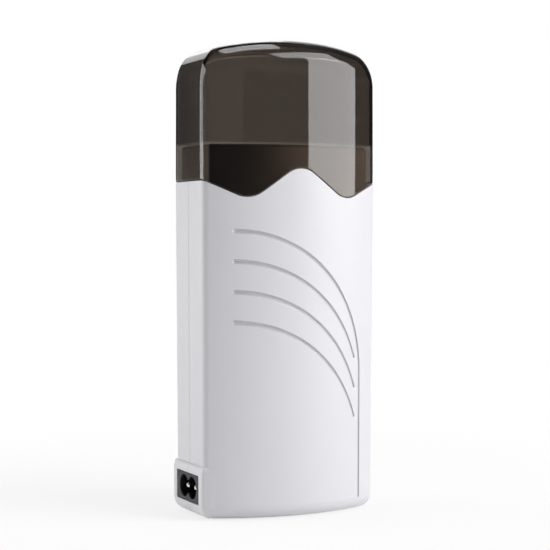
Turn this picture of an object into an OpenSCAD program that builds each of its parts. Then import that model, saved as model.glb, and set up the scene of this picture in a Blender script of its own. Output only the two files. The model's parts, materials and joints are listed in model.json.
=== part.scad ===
// Roll-on wax heater. Two moulded half shells close round a heated cartridge well, a mains inlet
// is trapped between them low on the left side, and a see-through cap lifts off the neck of the well.
// Millimetres. X runs to the right, -Y is the front, Z is up. The origin is the middle of the base.

/* [Housing] */
// Height from the base to the top of the cap
total_h = 200.5; // [194:0.5:207]
// Room on each side between the well and the wall, in which the posts stand
side_room = 7.3; // [7.3:0.1:9]
// Room between the well and the front wall
front_room = 3.8; // [3.6:0.1:5.5]
// Room between the heater's screws and the back wall
back_room = 1.7; // [1.6:0.1:3]
// How much each side leans in from the wavy edge to the base
side_draft = 0.9; // [0.4:0.1:1.2]
// Radius of the bowed front and back in plan
face_r = 82; // [74:1:100]
// Radius of the four upright corners
corner_r = 4.5; // [3.5:0.5:6]
// Radius that rounds the edge of the base
base_edge_r = 6; // [3:0.5:7]
// Wall thickness of the two shells
wall = 2.4; // [1.8:0.1:2.6]
// Width of the fine line that the two shells leave between them outside
parting_w = 0.35; // [0.2:0.05:0.6]

/* [Wavy edge] */
// Height of the edge at the middle of the front
peak_z = 145.6; // [142:0.2:149]
// How far its two lowest places lie below the middle
wave_drop = 11.9; // [9:0.1:13]
// Distance of the lowest places from the middle
trough_x = 23.2; // [20:0.1:26]
// How much steeper the flanks are than a straight line from peak to trough
flank_steepness = 1.4; // [1.15:0.05:1.5]
// Angle at which the edge climbs to the sides
side_climb = 25; // [15:1:30]
// Open line between the shells and the cap
reveal = 0.4; // [0.3:0.1:0.8]

/* [Cap] */
// Wall thickness of the cap
cap_wall = 2.2; // [1.6:0.1:2.6]
// How much narrower each side is at the shoulders than at the wavy edge
cap_draft = 0.1; // [0:0.1:0.8]
// Radius of the shallow arch over the top
cap_arch_r = 123; // [110:1:180]
// Radius of the two shoulders
shoulder_r = 11.5; // [9:0.5:14]
// Radius that rounds the front and back edges of the arch
cap_edge_r = 7; // [4:0.5:9]
// How far the top falls off from its middle line to the front and the back
cap_crown = 3.5; // [0:0.5:5]

/* [Grooves] */
// Number of curved grooves in the front
groove_count = 4; // [2:1:5]
// Distance of the highest groove's left end below the middle of the wavy edge
groove_drop = 25.9; // [22:0.1:32]
// Spacing from one groove to the next
groove_pitch = 12.6; // [10:0.1:14]
// Radius of each groove's curve
groove_r = 60; // [54:1:62]
// Distance of the upright groove to the right of the middle
groove_x = 30.4; // [28:0.1:31]
// Width of a groove at its blunt left end
groove_wide = 1.7; // [1.2:0.1:2.4]
// Width of a groove at its fine end
groove_fine = 0.7; // [0.5:0.1:1]
// Depth of the grooves
groove_depth = 0.6; // [0.4:0.1:0.9]
// Height of the lower end of the upright groove
groove_foot_z = 5.5; // [5:0.5:20]

/* [Neck and well] */
// How far the dark neck stands above the middle of the wavy edge
neck_rise = 10.1; // [8:0.1:14]
// Distance of the neck inside the outer surface
neck_inset = 3.5; // [3.2:0.1:4]
// Wall of the neck's outer skin
neck_wall = 1.8; // [1.4:0.1:2.2]
// Radius that rounds the neck's lip
neck_lip_r = 1.5; // [0.8:0.1:1.8]
// Width of the well that takes the wax cartridge
well_w = 58; // [54:0.5:58.5]
// Depth of the well from front to back
well_d = 33; // [30:0.5:33.5]
// Length of the well from the neck's top to its floor
well_len = 100; // [96:1:108]
// Radius of the well's corners
well_r = 10; // [9:0.5:11]
// Wall of the well
well_wall = 1.6; // [1.2:0.1:1.8]
// How far the flange that carries the well lies below the lowest places of the wavy edge
flange_drop = 2.2; // [1.6:0.1:3.2]
// Thickness of that flange
flange_t = 2; // [1.5:0.1:2.2]

/* [Heater] */
// Width of the heating plate's face in the well
plate_w = 34; // [30:0.5:35]
// Height of the bare wall between the heating plate and the well's flange
plate_top_room = 2; // [1.5:0.5:6]
// Width of the plate's flange beside its face
plate_rim = 2; // [1.5:0.1:2.2]
// Height of the plate's flange above and below its face
plate_end = 4.5; // [4:0.1:5]
// Thickness of the plate's flange
plate_t = 1.5; // [1.2:0.1:1.7]
// Width of a heating pellet
pellet_w = 15; // [12:0.5:16]
// Height of the plate's face that the pellets leave free at each end
pellet_end = 6.5; // [6.5:0.5:12]
// Thickness of a heating pellet
pellet_t = 1.8; // [1.4:0.1:2]
// Thickness of the contact strips
strip_t = 0.3; // [0.2:0.05:0.4]
// Thickness of the insulating films
film_t = 0.15; // [0.1:0.05:0.2]
// Width of the clamp bar
clamp_w = 10; // [8:0.5:10]
// Thickness of the clamp bar
clamp_t = 0.8; // [0.6:0.1:1]
// Radius of the thermal fuse
fuse_r = 1.9; // [1.6:0.1:2]
// Length of the thermal fuse
fuse_len = 10; // [8:0.5:12]
// How far the leaf spring bows into the well
spring_bow = 3; // [2:0.5:4]
// Width of the leaf spring
spring_w = 12; // [8:0.5:16]

/* [Inlet] */
// Height of the middle of the inlet
inlet_z = 12; // [11.5:0.1:14]
// Width of the inlet's face
inlet_w = 23.7; // [23:0.1:24.5]
// Height of the inlet's face
inlet_h = 12; // [11.5:0.1:12.5]
// Length of the inlet's housing
inlet_len = 16; // [15:0.5:18]
// Depth of the socket
socket_deep = 11; // [10.5:0.5:12]
// Radius of the two lobes of the socket
lobe_r = 4.6; // [4.5:0.05:4.8]
// Distance between the two pins
pin_pitch = 8.6; // [8.4:0.1:8.8]
// Radius of a pin
pin_r = 1.2; // [1.1:0.05:1.3]
// How far the pins' tips lie inside the face
pin_shy = 1.5; // [1:0.1:2.5]
// How far the pad round the inlet stands out
pad_h = 1.2; // [0.8:0.1:1.6]
// How far that pad rises above the inlet
pad_rise = 4; // [3:0.5:8]

/* [Fasteners and pilot lamp] */
// Radius of the shell screws
screw_r = 1.45; // [1.2:0.05:1.6]
// Radius of the shell screws' heads
screw_head_r = 2.6; // [2.2:0.1:2.8]
// Distance of the upper pair of shell screws below the well's flange
screw_drop = 11.5; // [9:0.5:16]
// Height of the lower pair of shell screws
screw_low_z = 38; // [34:1:42]
// Distance of the lower pair from the middle
screw_low_x = 29; // [26:0.5:30]
// Distance above the well's floor of the two screws that hold the well
lug_rise = 12.3; // [6:0.1:24]
// Height of the pilot lamp in the back
pilot_z = 28; // [27:0.5:32]
// Radius of the pilot lamp's lens
lens_r = 2.5; // [2:0.1:3]

/* [Hidden] */

eps = 0.01;
far = 200;
seat_gap = 0.1;
slip = 0.25;
pin_slip = 0.05;
face_n = 20;
corner_n = 5;
fillet_n = 5;
lead_sides = 8;

// ---- Overall sizes and heights that follow from the well, the heater and the walls ----

stack_t = 2*film_t + 2*strip_t + pellet_t;
clamp_head_h = 1.1;
heater_room = plate_t + stack_t + clamp_t + clamp_head_h + back_room;
body_w = well_w + 2*(well_wall + side_room + wall);
body_d = well_d + 2*(well_wall + wall) + front_room + heater_room;
well_shift = (heater_room - front_room)/2;
trough_z = peak_z - wave_drop;
neck_z = peak_z + neck_rise;
well_floor_z = neck_z - well_len;
flange_z = trough_z - flange_drop - flange_t;
screw_high_z = flange_z - screw_drop;
groove_top_z = peak_z - groove_drop;
pad_top_z = inlet_z + inlet_h/2 + pad_rise;
plate_lift = 0.8;
plate_h = flange_z - plate_top_room - well_floor_z - plate_lift - 2*plate_end;
pellet_gap = 1;
pellet_h = (plate_h - pellet_gap)/2 - pellet_end;

// ---- Plan of the housing: bowed front and back, flat sides, rounded corners ----

arc_y = face_r - body_d/2;

function arc(cx, cy, r, a0, a1, n) =
    [for (k = [0:n]) let (a = a0 + (a1 - a0)*k/n) [cx + r*cos(a), cy + r*sin(a)]];
function rest(list) = [for (k = [1:len(list) - 1]) list[k]];
function most(list) = [for (k = [0:len(list) - 2]) list[k]];

// inset is measured inwards from the surface at the wavy edge; cr is the corner radius there
function round_r(inset, cr) = max(cr - inset, 0.5);
function round_x(inset, cr) = body_w/2 - inset - round_r(inset, cr);
function round_y(inset, cr) =
    sqrt(pow(face_r - inset - round_r(inset, cr), 2) - pow(round_x(inset, cr), 2)) - arc_y;
function face_turn(inset, cr) = asin(round_x(inset, cr)/(face_r - inset - round_r(inset, cr)));

// Points anticlockwise from the left end of the front
function plan(inset, cr = corner_r) =
    let (t = face_turn(inset, cr), c = round_r(inset, cr), r = face_r - inset,
         x = round_x(inset, cr), y = round_y(inset, cr))
    concat(arc(0, arc_y, r, 270 - t, 270 + t, face_n),
           rest(arc(x, -y, c, -90 + t, 0, corner_n)),
           arc(x, y, c, 0, 90 - t, corner_n),
           rest(arc(0, -arc_y, r, 90 - t, 90 + t, face_n)),
           rest(arc(-x, y, c, 90 + t, 180, corner_n)),
           most(arc(-x, -y, c, 180, 270 - t, corner_n)));

function ring(inset, z, cr = corner_r) = [for (p = plan(inset, cr)) [p.x, p.y, z]];

// How far the drafted side lies inside its place at the wavy edge
function draft_at(z) = side_draft*(1 - z/peak_z);

// Half depth of the housing at x, inside the surface by inset
function face_y(x, inset) = sqrt(pow(face_r - inset, 2) - x*x) - arc_y;

// The same, rounded at the upright corners
function half_y(x, inset) =
    let (c = round_r(inset, corner_r), cx = round_x(inset, corner_r))
    abs(x) <= cx*(face_r - inset)/(face_r - inset - c) ? face_y(x, inset)
        : round_y(inset, corner_r) + sqrt(max(c*c - pow(abs(x) - cx, 2), 0));

// Closed body through a list of rings of equal length, from the lowest to the highest
module loft(rings) {
    n = len(rings[0]);
    m = len(rings);
    polyhedron(
        points = [for (r = rings) each r],
        faces = concat(
            [[for (k = [0:n - 1]) k]],
            [[for (k = [0:n - 1]) m*n - 1 - k]],
            [for (j = [0:m - 2]) for (k = [0:n - 1]) let (a = j*n + k, b = j*n + (k + 1)%n)
                each [[a, a + n, b + n], [a, b + n, b]]]),
        convexity = 6);
}

// The housing's body, inside its outer surface by inset, up to height top
module body_blank(inset, top, cr = corner_r) {
    r = max(base_edge_r - inset, 1);
    loft(concat(
        [for (k = [0:fillet_n]) let (a = 90*k/fillet_n, z = max(inset, 0) + r*(1 - cos(a)))
            ring(inset + draft_at(z) + r*(1 - sin(a)), z, cr)],
        [ring(inset + draft_at(top), top, cr)]));
}

module rounded_slab(w, d, r, h) {
    linear_extrude(h)
        polygon(concat(arc(w/2 - r, -d/2 + r, r, -90, 0, corner_n), arc(w/2 - r, d/2 - r, r, 0, 90, corner_n),
                       arc(-w/2 + r, d/2 - r, r, 90, 180, corner_n),
                       arc(-w/2 + r, -d/2 + r, r, 180, 270, corner_n)));
}

// Cylinder from y0 to y1 with its axis along Y
module along_y(x, z, r, y0, y1) {
    translate([x, y1, z]) rotate([90, 0, 0]) cylinder(r = r, h = y1 - y0, $fn = 48);
}

// Cylinder from x0 to x1 with its axis along X
module along_x(x0, x1, y, z, r, sides = 48) {
    translate([x0, y, z]) rotate([0, 90, 0]) cylinder(r = r, h = x1 - x0, $fn = sides);
}

// Box given by its two corners
module span(a, b) {
    translate(a) cube(b - a);
}

// ---- The wavy edge, as seen from the front ----

wave_angle = atan(flank_steepness*(peak_z - trough_z)/trough_x);
wave_r = trough_x*(1 - 1/flank_steepness)/(2*tan(wave_angle/2));
wave_s = wave_r*sin(wave_angle);
climb_s = wave_r*sin(side_climb);
wave_end = body_w/2 + 5;

function bow(r, d) = r - sqrt(r*r - d*d);
function wave_z(x) =
    let (u = abs(x))
    u <= wave_s ? peak_z - bow(wave_r, u) :
    u <= trough_x - wave_s ? peak_z - bow(wave_r, wave_s) - (u - wave_s)*tan(wave_angle) :
    u <= trough_x + climb_s ? trough_z + bow(wave_r, trough_x - u) :
    trough_z + bow(wave_r, climb_s) + (u - trough_x - climb_s)*tan(side_climb);

function steps(a, b, n) = [for (k = [0:n]) a + (b - a)*k/n];
wave_half = concat(steps(0, wave_s, 6), steps(trough_x - wave_s, trough_x + climb_s, 11), [wave_end]);
wave_xs = concat([for (k = [len(wave_half) - 1:-1:1]) -wave_half[k]], wave_half);

module seen_from_front(y0, y1) {
    translate([0, y1, 0]) rotate([90, 0, 0]) linear_extrude(y1 - y0) children();
}

module under_wave() {
    seen_from_front(-far/2, far/2)
        polygon(concat([[-wave_end, -far]], [for (x = wave_xs) [x, wave_z(x)]], [[wave_end, -far]]));
}

module over_wave(gap) {
    seen_from_front(-far/2, far/2)
        polygon(concat([for (x = wave_xs) [x, wave_z(x) + gap]], [[wave_end, 2*far], [-wave_end, 2*far]]));
}

// ---- Grooves in the front: blunt at the left, fine where they run out by the upright one ----

groove_cx = groove_x - groove_r;
groove_n = 28;

// Edge points of groove k; side is -1 for the lower edge and 1 for the upper, last is the angle it ends at
function groove_w(f) = groove_wide + (groove_fine - groove_wide)*f;
function groove_edge(k, side, last) =
    [for (j = [0:groove_n]) let (f = j/groove_n, a = 90 - last*f, r = groove_r + side*groove_w(f)/2)
        [groove_cx + r*cos(a), groove_top_z - k*groove_pitch - groove_r + r*sin(a)]];
function backwards(list) = [for (k = [len(list) - 1:-1:0]) list[k]];

module groove_outline(k) {
    last = k == 0 ? 90 : 72;
    polygon(concat(groove_edge(k, 1, last), backwards(groove_edge(k, -1, last))));
    translate([groove_cx, groove_top_z - k*groove_pitch]) circle(r = groove_wide/2, $fn = 24);
    if (k == 0)
        translate([groove_x - groove_fine/2, groove_foot_z])
            square([groove_fine, groove_top_z - groove_r - groove_foot_z + eps]);
}

module grooves() {
    seen_from_front(-far, 0)
        for (k = [0:groove_count - 1]) groove_outline(k);
}

// ---- Pad round the inlet: it stands out of the left side and wraps both corners ----

pad_r = 1.2;
pad_ramp = 4;
pad_wrap_x = 2.8;
pad_corner_r = 3.5;
side_x = body_w/2 - draft_at(inlet_z);

module pad() {
    intersection() {
        loft(concat(
            [for (k = [0:fillet_n]) let (a = 90*k/fillet_n, z = base_edge_r*(1 - cos(a)))
                ring(draft_at(z) - pad_h + base_edge_r*(1 - sin(a)), z, pad_r)],
            [for (a = [0, 35, 65, 90]) let (z = pad_top_z - pad_ramp*(1 - sin(a)))
                ring(draft_at(z) - pad_h*cos(a), z, pad_r)]));
        seen_from_front(-far, far) hull() {
            translate([-far, -1]) square([far - side_x + pad_wrap_x, 2]);
            translate([-far, pad_top_z - 1]) square(1);
            translate([-side_x + pad_wrap_x - pad_corner_r, pad_top_z - pad_corner_r])
                circle(r = pad_corner_r, $fn = 32);
        }
    }
}

// ---- Places of the screws, the well and the heater ----

inlet_face_x = -side_x - pad_h + 0.15;
inlet_back_x = inlet_face_x + inlet_len;
inlet_flange_t = 1.6;
inlet_flange_rim = 1.2;
inlet_flange_low = max(inlet_z - inlet_h/2 - inlet_flange_rim, base_edge_r);
socket_floor_x = inlet_face_x + socket_deep;
waist_h = 5.4;
shank_r = pin_r - 0.3;
tab_half_h = 2;
tab_half_t = 0.4;
tab_len = 6;
tab_end_x = inlet_back_x + tab_len;
rib_t = 1.6;

well_half = well_w/2 + well_wall;
well_front_y = -well_d/2 - well_shift;
well_back_y = well_d/2 - well_shift;
well_floor_t = 1.8;
lug_z = well_floor_z + lug_rise;
post_r = 2.9;
post_wide_r = screw_head_r + 1.3;
post_wide_y = 8;
screw_high_x = well_half + 0.8 + post_r;
screw_sites = [[-screw_high_x, screw_high_z], [screw_high_x, screw_high_z],
               [-screw_low_x, screw_low_z], [screw_low_x, screw_low_z]];
screw_seat_y = 12;
screw_len = 18;
lug_x = well_half + 3.1;
lug_t = 2.4;
lug_post_r = 2.5;
lug_screw_r = 1.1;
lug_back_y = 2;

ledge_w = 2;
ledge_h = 2;

heater_z = well_floor_z + plate_lift + plate_end + plate_h/2;
plate_back_y = well_back_y + well_wall + plate_t;
clamp_y = plate_back_y + stack_t;
window_gap = 0.15;
stake_r = 0.8;
stake_head_r = 1.4;
stake_head_t = 0.8;
stake_x = plate_w/2;
stake_z = plate_h/2 + plate_end/2;
boss_r = 3;
clamp_screw_r = 1.2;
strip_h = 2*pellet_h + pellet_gap + 3;
boss_z = strip_h/2 + boss_r + 1;
strip_w = pellet_w - 1;
tab_w = 3;
tab_x = boss_r + 2.5;
tab_reach = plate_h/2 + plate_end + 0.5;
inner_strip_y = plate_back_y + film_t;
outer_strip_y = inner_strip_y + strip_t + pellet_t;
fuse_x = pellet_w/2 + 5.7;
fuse_y = plate_back_y + fuse_r + 0.05;
fuse_wire_r = 0.5;
fuse_wire_len = 6;
clip_screw_x = fuse_x + fuse_r + 2.3;
clip_screw_r = 0.8;
clip_w = 5;
clip_z = heater_z;
clip_t = 0.4;
spring_t = 0.4;
spring_h = 56;
spring_tab = 8;
spring_top_z = heater_z + spring_h/2 - 2;
rivet_r = 1.2;

board_w = 18;
board_h = 12;
board_t = 1.6;
led_r = 1.5;
led_len = 3.4;
lens_back_y = body_d/2 - draft_at(pilot_z) - wall - 0.9;
board_y = lens_back_y - led_len - led_r - 0.3 - board_t;
board_post_x = 6.6;
board_post_r = 1.9;
board_screw_r = 0.8;

// ---- Housing ----

module shell_skin(grooved) {
    difference() {
        union() {
            difference() {
                body_blank(0, peak_z + 3);
                if (grooved) grooves();
                span([-far, -parting_w/2, -1], [far, parting_w/2, far]);
            }
            body_blank(groove_depth, peak_z + 3);
            pad();
        }
        body_blank(wall, peak_z + 4);
        span([-far, -inlet_w/2 - slip/2, inlet_z - inlet_h/2 - slip/2],
             [-side_x + wall + base_edge_r, inlet_w/2 + slip/2, inlet_z + inlet_h/2 + slip/2]);
    }
}

// Ledge all round the inside, on which the well's flange lies
module ledge() {
    difference() {
        translate([0, 0, flange_z - seat_gap - ledge_h])
            linear_extrude(ledge_h) polygon(plan(wall - 0.3));
        translate([0, 0, flange_z - seat_gap - ledge_h - 1])
            linear_extrude(ledge_h + 2) polygon(plan(wall + ledge_w));
        well_prism(well_wall + slip, 0, peak_z);
    }
}

// Ribs that stand behind the inlet's flange, beside its housing
module inlet_ribs(side) {
    x = -side_x + wall + inlet_flange_t + 2*seat_gap;
    y0 = inlet_w/2 + slip;
    span([x, side > 0 ? y0 : -body_d/2, base_edge_r], [x + rib_t, side > 0 ? body_d/2 : -y0, pad_top_z]);
}

// Upright body whose sides run inside the thickness of the walls, to trim what stands on them
module within_walls() {
    loft([ring(wall/2 + draft_at(0), 0), ring(wall/2, peak_z)]);
}

module keep_half(side) {
    intersection() {
        children();
        under_wave();
        span([-far, side > 0 ? 0 : -far, -1], [far, side > 0 ? far : 0, far]);
    }
}

module front_shell() {
    color("white") difference() {
        keep_half(-1) {
            shell_skin(true);
            ledge();
            intersection() {
                union() {
                    for (s = screw_sites) along_y(s.x, s.y, post_r, -body_d/2, -seat_gap);
                    inlet_ribs(-1);
                }
                within_walls();
            }
        }
        for (s = screw_sites)
            along_y(s.x, s.y, screw_r + pin_slip, screw_seat_y - screw_len - 2, 1);
    }
}

module rear_shell() {
    color("whitesmoke") difference() {
        keep_half(1) {
            shell_skin(false);
            ledge();
            intersection() {
                union() {
                    for (s = screw_sites) {
                        along_y(s.x, s.y, post_r, seat_gap, post_wide_y + 1);
                        along_y(s.x, s.y, post_wide_r, post_wide_y, body_d/2);
                    }
                    for (s = [-1, 1]) {
                        along_y(s*lug_x, lug_z, lug_post_r, lug_back_y + seat_gap, body_d/2);
                        along_y(s*board_post_x, pilot_z, board_post_r, board_y + board_t + seat_gap, body_d/2);
                    }
                    inlet_ribs(1);
                }
                within_walls();
            }
        }
        for (s = screw_sites) {
            along_y(s.x, s.y, screw_r + slip, -1, screw_seat_y + 1);
            along_y(s.x, s.y, screw_head_r + 0.4, screw_seat_y, body_d);
        }
        for (s = [-1, 1]) {
            along_y(s*lug_x, lug_z, lug_screw_r + pin_slip, 0, lug_back_y + 8);
            along_y(s*board_post_x, pilot_z, board_screw_r + pin_slip, 0, board_y + board_t + 4);
        }
        along_y(0, pilot_z, lens_r + pin_slip, body_d/4, body_d);
    }
}

// Pan-head screw with a cross recess, its head towards +Y and its seat at y = 0
module screw(r, head_r, head_h, len) {
    difference() {
        union() {
            along_y(0, 0, head_r, 0, head_h);
            along_y(0, 0, r, -len, eps);
        }
        for (a = [0, 90]) rotate([0, a, 0])
            span([-head_r*0.6, head_h*0.45, -head_r*0.13], [head_r*0.6, head_h + 1, head_r*0.13]);
    }
}

module shell_screws() {
    color("silver") for (s = screw_sites)
        translate([s.x, screw_seat_y + pin_slip, s.y]) screw(screw_r, screw_head_r, 1.8, screw_len);
}

// ---- Cap ----

arch_half = body_w/2 - cap_draft - shoulder_r;
arch_turn = asin(arch_half/(cap_arch_r - shoulder_r));
shoulder_z = total_h - shoulder_r - bow(cap_arch_r - shoulder_r, arch_half);

// Height of the arch over x, inside the outer surface by t
function arch_z(x, t) =
    let (u = min(abs(x), arch_half + shoulder_r - t))
    u <= (cap_arch_r - t)*sin(arch_turn)
        ? total_h - cap_arch_r + sqrt(pow(cap_arch_r - t, 2) - u*u)
        : shoulder_z + sqrt(max(pow(shoulder_r - t, 2) - pow(u - arch_half, 2), 0));

// How far the crowned top lies below the arch at a distance y from its middle strip's line
function crown_drop(y) = cap_crown*pow(max(abs(y) - crown_half, 0)/(body_d/2 - crown_half), 2);

// Height of the rounded top over a plan point
function top_z(p, t) =
    let (r = cap_edge_r - t, e = max(half_y(p.x, cap_draft + t) - abs(p.y), 0))
    arch_z(p.x, t) - crown_drop(p.y) - (e < r ? r - sqrt(r*r - (r - e)*(r - e)) : 0);

// The top's rings, as shares of the way in to a narrow strip along the crown
crown_half = 5.5;
cap_steps = [0, 0.003, 0.012, 0.03, 0.055, 0.09, 0.14, 0.21, 0.31, 0.45, 0.63, 0.82, 1];

// Solid form of the cap, inside its outer surface by t
module cap_blank(t) {
    low_z = trough_z - 4;
    reach = body_d/2 - crown_half - cap_draft - t;
    tops = [for (f = cap_steps) [for (p = plan(f*reach + cap_draft + t)) [p.x, p.y, top_z(p, t)]]];
    rings = concat([ring(t + draft_at(low_z), low_z), ring(t, peak_z)], tops);
    n = len(rings[0]);
    m = len(rings);
    last = (m - 1)*n;
    polyhedron(
        points = [for (r = rings) each r],
        faces = concat(
            [[for (k = [0:n - 1]) k]],
            [for (j = [0:m - 2]) for (k = [0:n - 1]) let (a = j*n + k, b = j*n + (k + 1)%n)
                each [[a, a + n, b + n], [a, b + n, b]]],
            // the last ring is closed by strips from its front half to its back half, from left to right
            [for (j = [0:n/2 - 2])
                let (a = last + (j - corner_n + n)%n, b = last + (j + 1 - corner_n + n)%n,
                     c = last + n - corner_n - 2 - j, d = c + 1)
                each [[a, c, b], [a, d, c]]]),
        convexity = 8);
}

module cap() {
    color([0.25, 0.2, 0.17, 0.7]) difference() {
        intersection() {
            cap_blank(0);
            over_wave(reveal);
        }
        cap_blank(cap_wall);
    }
}

// ---- Well and neck, one moulding ----

module well_prism(grow, z0, z1) {
    translate([0, -well_shift, z0])
        rounded_slab(well_w + 2*grow, well_d + 2*grow, well_r + grow, z1 - z0);
}

module well() {
    neck_low = flange_z;
    hollow_top = neck_z - neck_wall;
    color("saddlebrown") difference() {
        union() {
            // outer skin of the neck with its rounded lip, and the flange below it
            difference() {
                loft(concat([ring(neck_inset, neck_low)],
                    [for (k = [0:fillet_n]) let (a = 90*k/fillet_n)
                        ring(neck_inset + neck_lip_r*(1 - cos(a)), neck_z - neck_lip_r*(1 - sin(a)))]));
                translate([0, 0, neck_low - 1])
                    linear_extrude(hollow_top - neck_low + 1) polygon(plan(neck_inset + neck_wall));
            }
            translate([0, 0, flange_z]) linear_extrude(flange_t) difference() {
                polygon(plan(wall + draft_at(flange_z) + slip));
                polygon(plan(neck_inset + neck_wall - eps));
            }
            well_prism(well_wall, well_floor_z - well_floor_t, neck_z - neck_wall/2);
            // lugs by which the lower end is screwed to the back shell
            for (s = [-1, 1]) intersection() {
                union() {
                    along_y(s*lug_x, lug_z, lug_post_r, lug_back_y - lug_t, lug_back_y);
                    span([s > 0 ? well_half - 1 : -lug_x, lug_back_y - lug_t, lug_z - lug_post_r],
                         [s > 0 ? lug_x : -well_half + 1, lug_back_y, lug_z + lug_post_r]);
                }
                span([-far, -far, 0], [far, far, far]);
            }
            // stakes that hold the heating plate
            for (sx = [-1, 1]) for (sz = [-1, 1]) {
                along_y(sx*stake_x, heater_z + sz*stake_z, stake_r, well_back_y + well_wall/2, plate_back_y + 0.5);
                along_y(sx*stake_x, heater_z + sz*stake_z, stake_head_r,
                        plate_back_y + pin_slip, plate_back_y + stake_head_t);
            }
        }
        well_prism(0, well_floor_z, neck_z + 1);
        // window for the plate's face
        span([-plate_w/2 - window_gap, 0, heater_z - plate_h/2 - window_gap],
             [plate_w/2 + window_gap, well_back_y + well_wall + 1, heater_z + plate_h/2 + window_gap]);
        for (s = [-1, 1])
            along_y(s*lug_x, lug_z, lug_screw_r + slip, lug_back_y - lug_t - 1, lug_back_y + 1);
        along_y(0, spring_top_z + spring_tab/2, rivet_r + pin_slip, -body_d/2, well_front_y + 1);
    }
}

module well_screws() {
    color("silver") for (s = [-1, 1])
        translate([s*lug_x, lug_back_y - lug_t - pin_slip, lug_z]) mirror([0, 1, 0])
            screw(lug_screw_r, 2, 1.2, 8);
}

module leaf_spring() {
    r = (spring_bow*spring_bow + spring_h*spring_h/4)/(2*spring_bow);
    mid_z = spring_top_z - spring_h/2;
    crest_y = well_front_y + pin_slip + spring_bow;
    color("gainsboro") difference() {
        union() {
            intersection() {
                difference() {
                    along_x(-spring_w/2, spring_w/2, crest_y - r, mid_z, r, 360);
                    along_x(-spring_w, spring_w, crest_y - r, mid_z, r - spring_t, 360);
                }
                span([-spring_w, well_front_y + pin_slip, mid_z - spring_h], [spring_w, far, mid_z + spring_h]);
            }
            span([-spring_w/2, well_front_y + pin_slip, spring_top_z - 3],
                 [spring_w/2, well_front_y + pin_slip + spring_t, spring_top_z + spring_tab]);
        }
        along_y(0, spring_top_z + spring_tab/2, rivet_r + pin_slip, -body_d, 0);
    }
}

module spring_rivet() {
    z = spring_top_z + spring_tab/2;
    out_y = well_front_y - well_wall;
    in_y = well_front_y + pin_slip + spring_t;
    color("silver") {
        along_y(0, z, rivet_r, out_y - 0.7, in_y + 0.7);
        along_y(0, z, rivet_r + 0.9, out_y - 0.75, out_y - pin_slip);
        along_y(0, z, rivet_r + 0.9, in_y + pin_slip, in_y + 0.75);
    }
}

// ---- Heater ----

module heating_plate() {
    color("lightsteelblue") difference() {
        union() {
            span([-plate_w/2, well_back_y, heater_z - plate_h/2],
                 [plate_w/2, well_back_y + well_wall + eps, heater_z + plate_h/2]);
            span([-plate_w/2 - plate_rim, well_back_y + well_wall, heater_z - plate_h/2 - plate_end],
                 [plate_w/2 + plate_rim, plate_back_y, heater_z + plate_h/2 + plate_end]);
            for (s = [-1, 1]) along_y(0, heater_z + s*boss_z, boss_r, plate_back_y - eps, clamp_y);
        }
        for (s = [-1, 1])
            along_y(0, heater_z + s*boss_z, clamp_screw_r + pin_slip, well_back_y + 1, clamp_y + 1);
        for (sx = [-1, 1]) for (sz = [-1, 1])
            along_y(sx*stake_x, heater_z + sz*stake_z, stake_r + pin_slip, well_back_y - 1, plate_back_y + 1);
        along_y(clip_screw_x, clip_z, clip_screw_r + pin_slip, well_back_y + 1, plate_back_y + 1);
    }
}

module heating_pellets() {
    color("dimgray") for (s = [-1, 1])
        span([-pellet_w/2, inner_strip_y + strip_t, heater_z + s*(pellet_h + pellet_gap)/2 - pellet_h/2],
             [pellet_w/2, outer_strip_y, heater_z + s*(pellet_h + pellet_gap)/2 + pellet_h/2]);
}

// The inner strip's tab runs up past the plate, the outer strip's runs down
module contact_strips() {
    color("goldenrod") for (s = [-1, 1]) {
        y = s > 0 ? inner_strip_y : outer_strip_y;
        span([-strip_w/2, y, heater_z - strip_h/2], [strip_w/2, y + strip_t, heater_z + strip_h/2]);
        span([tab_x - tab_w/2, y, s > 0 ? heater_z : heater_z - tab_reach],
             [tab_x + tab_w/2, y + strip_t, s > 0 ? heater_z + tab_reach : heater_z]);
    }
}

module insulating_films() {
    color("orange") for (y = [plate_back_y, outer_strip_y + strip_t])
        span([-pellet_w/2 - 1, y, heater_z - strip_h/2 - 0.5], [pellet_w/2 + 1, y + film_t, heater_z + strip_h/2 + 0.5]);
}

module clamp_bar() {
    color("silver") difference() {
        span([-clamp_w/2, clamp_y, heater_z - boss_z - boss_r], [clamp_w/2, clamp_y + clamp_t, heater_z + boss_z + boss_r]);
        for (s = [-1, 1])
            along_y(0, heater_z + s*boss_z, clamp_screw_r + slip, 0, body_d);
    }
}

module clamp_screws() {
    color("silver") for (s = [-1, 1])
        translate([0, clamp_y + clamp_t + pin_slip/2, heater_z + s*boss_z])
            screw(clamp_screw_r, 2.1, clamp_head_h, clamp_t + stack_t + 1);
}

module thermal_fuse() {
    color("tan") {
        translate([fuse_x, fuse_y, heater_z - fuse_len/2]) cylinder(r = fuse_r, h = fuse_len, $fn = 40);
        translate([fuse_x, fuse_y, heater_z - fuse_len/2 - fuse_wire_len])
            cylinder(r = fuse_wire_r, h = fuse_len + 2*fuse_wire_len, $fn = 24);
    }
}

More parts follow.
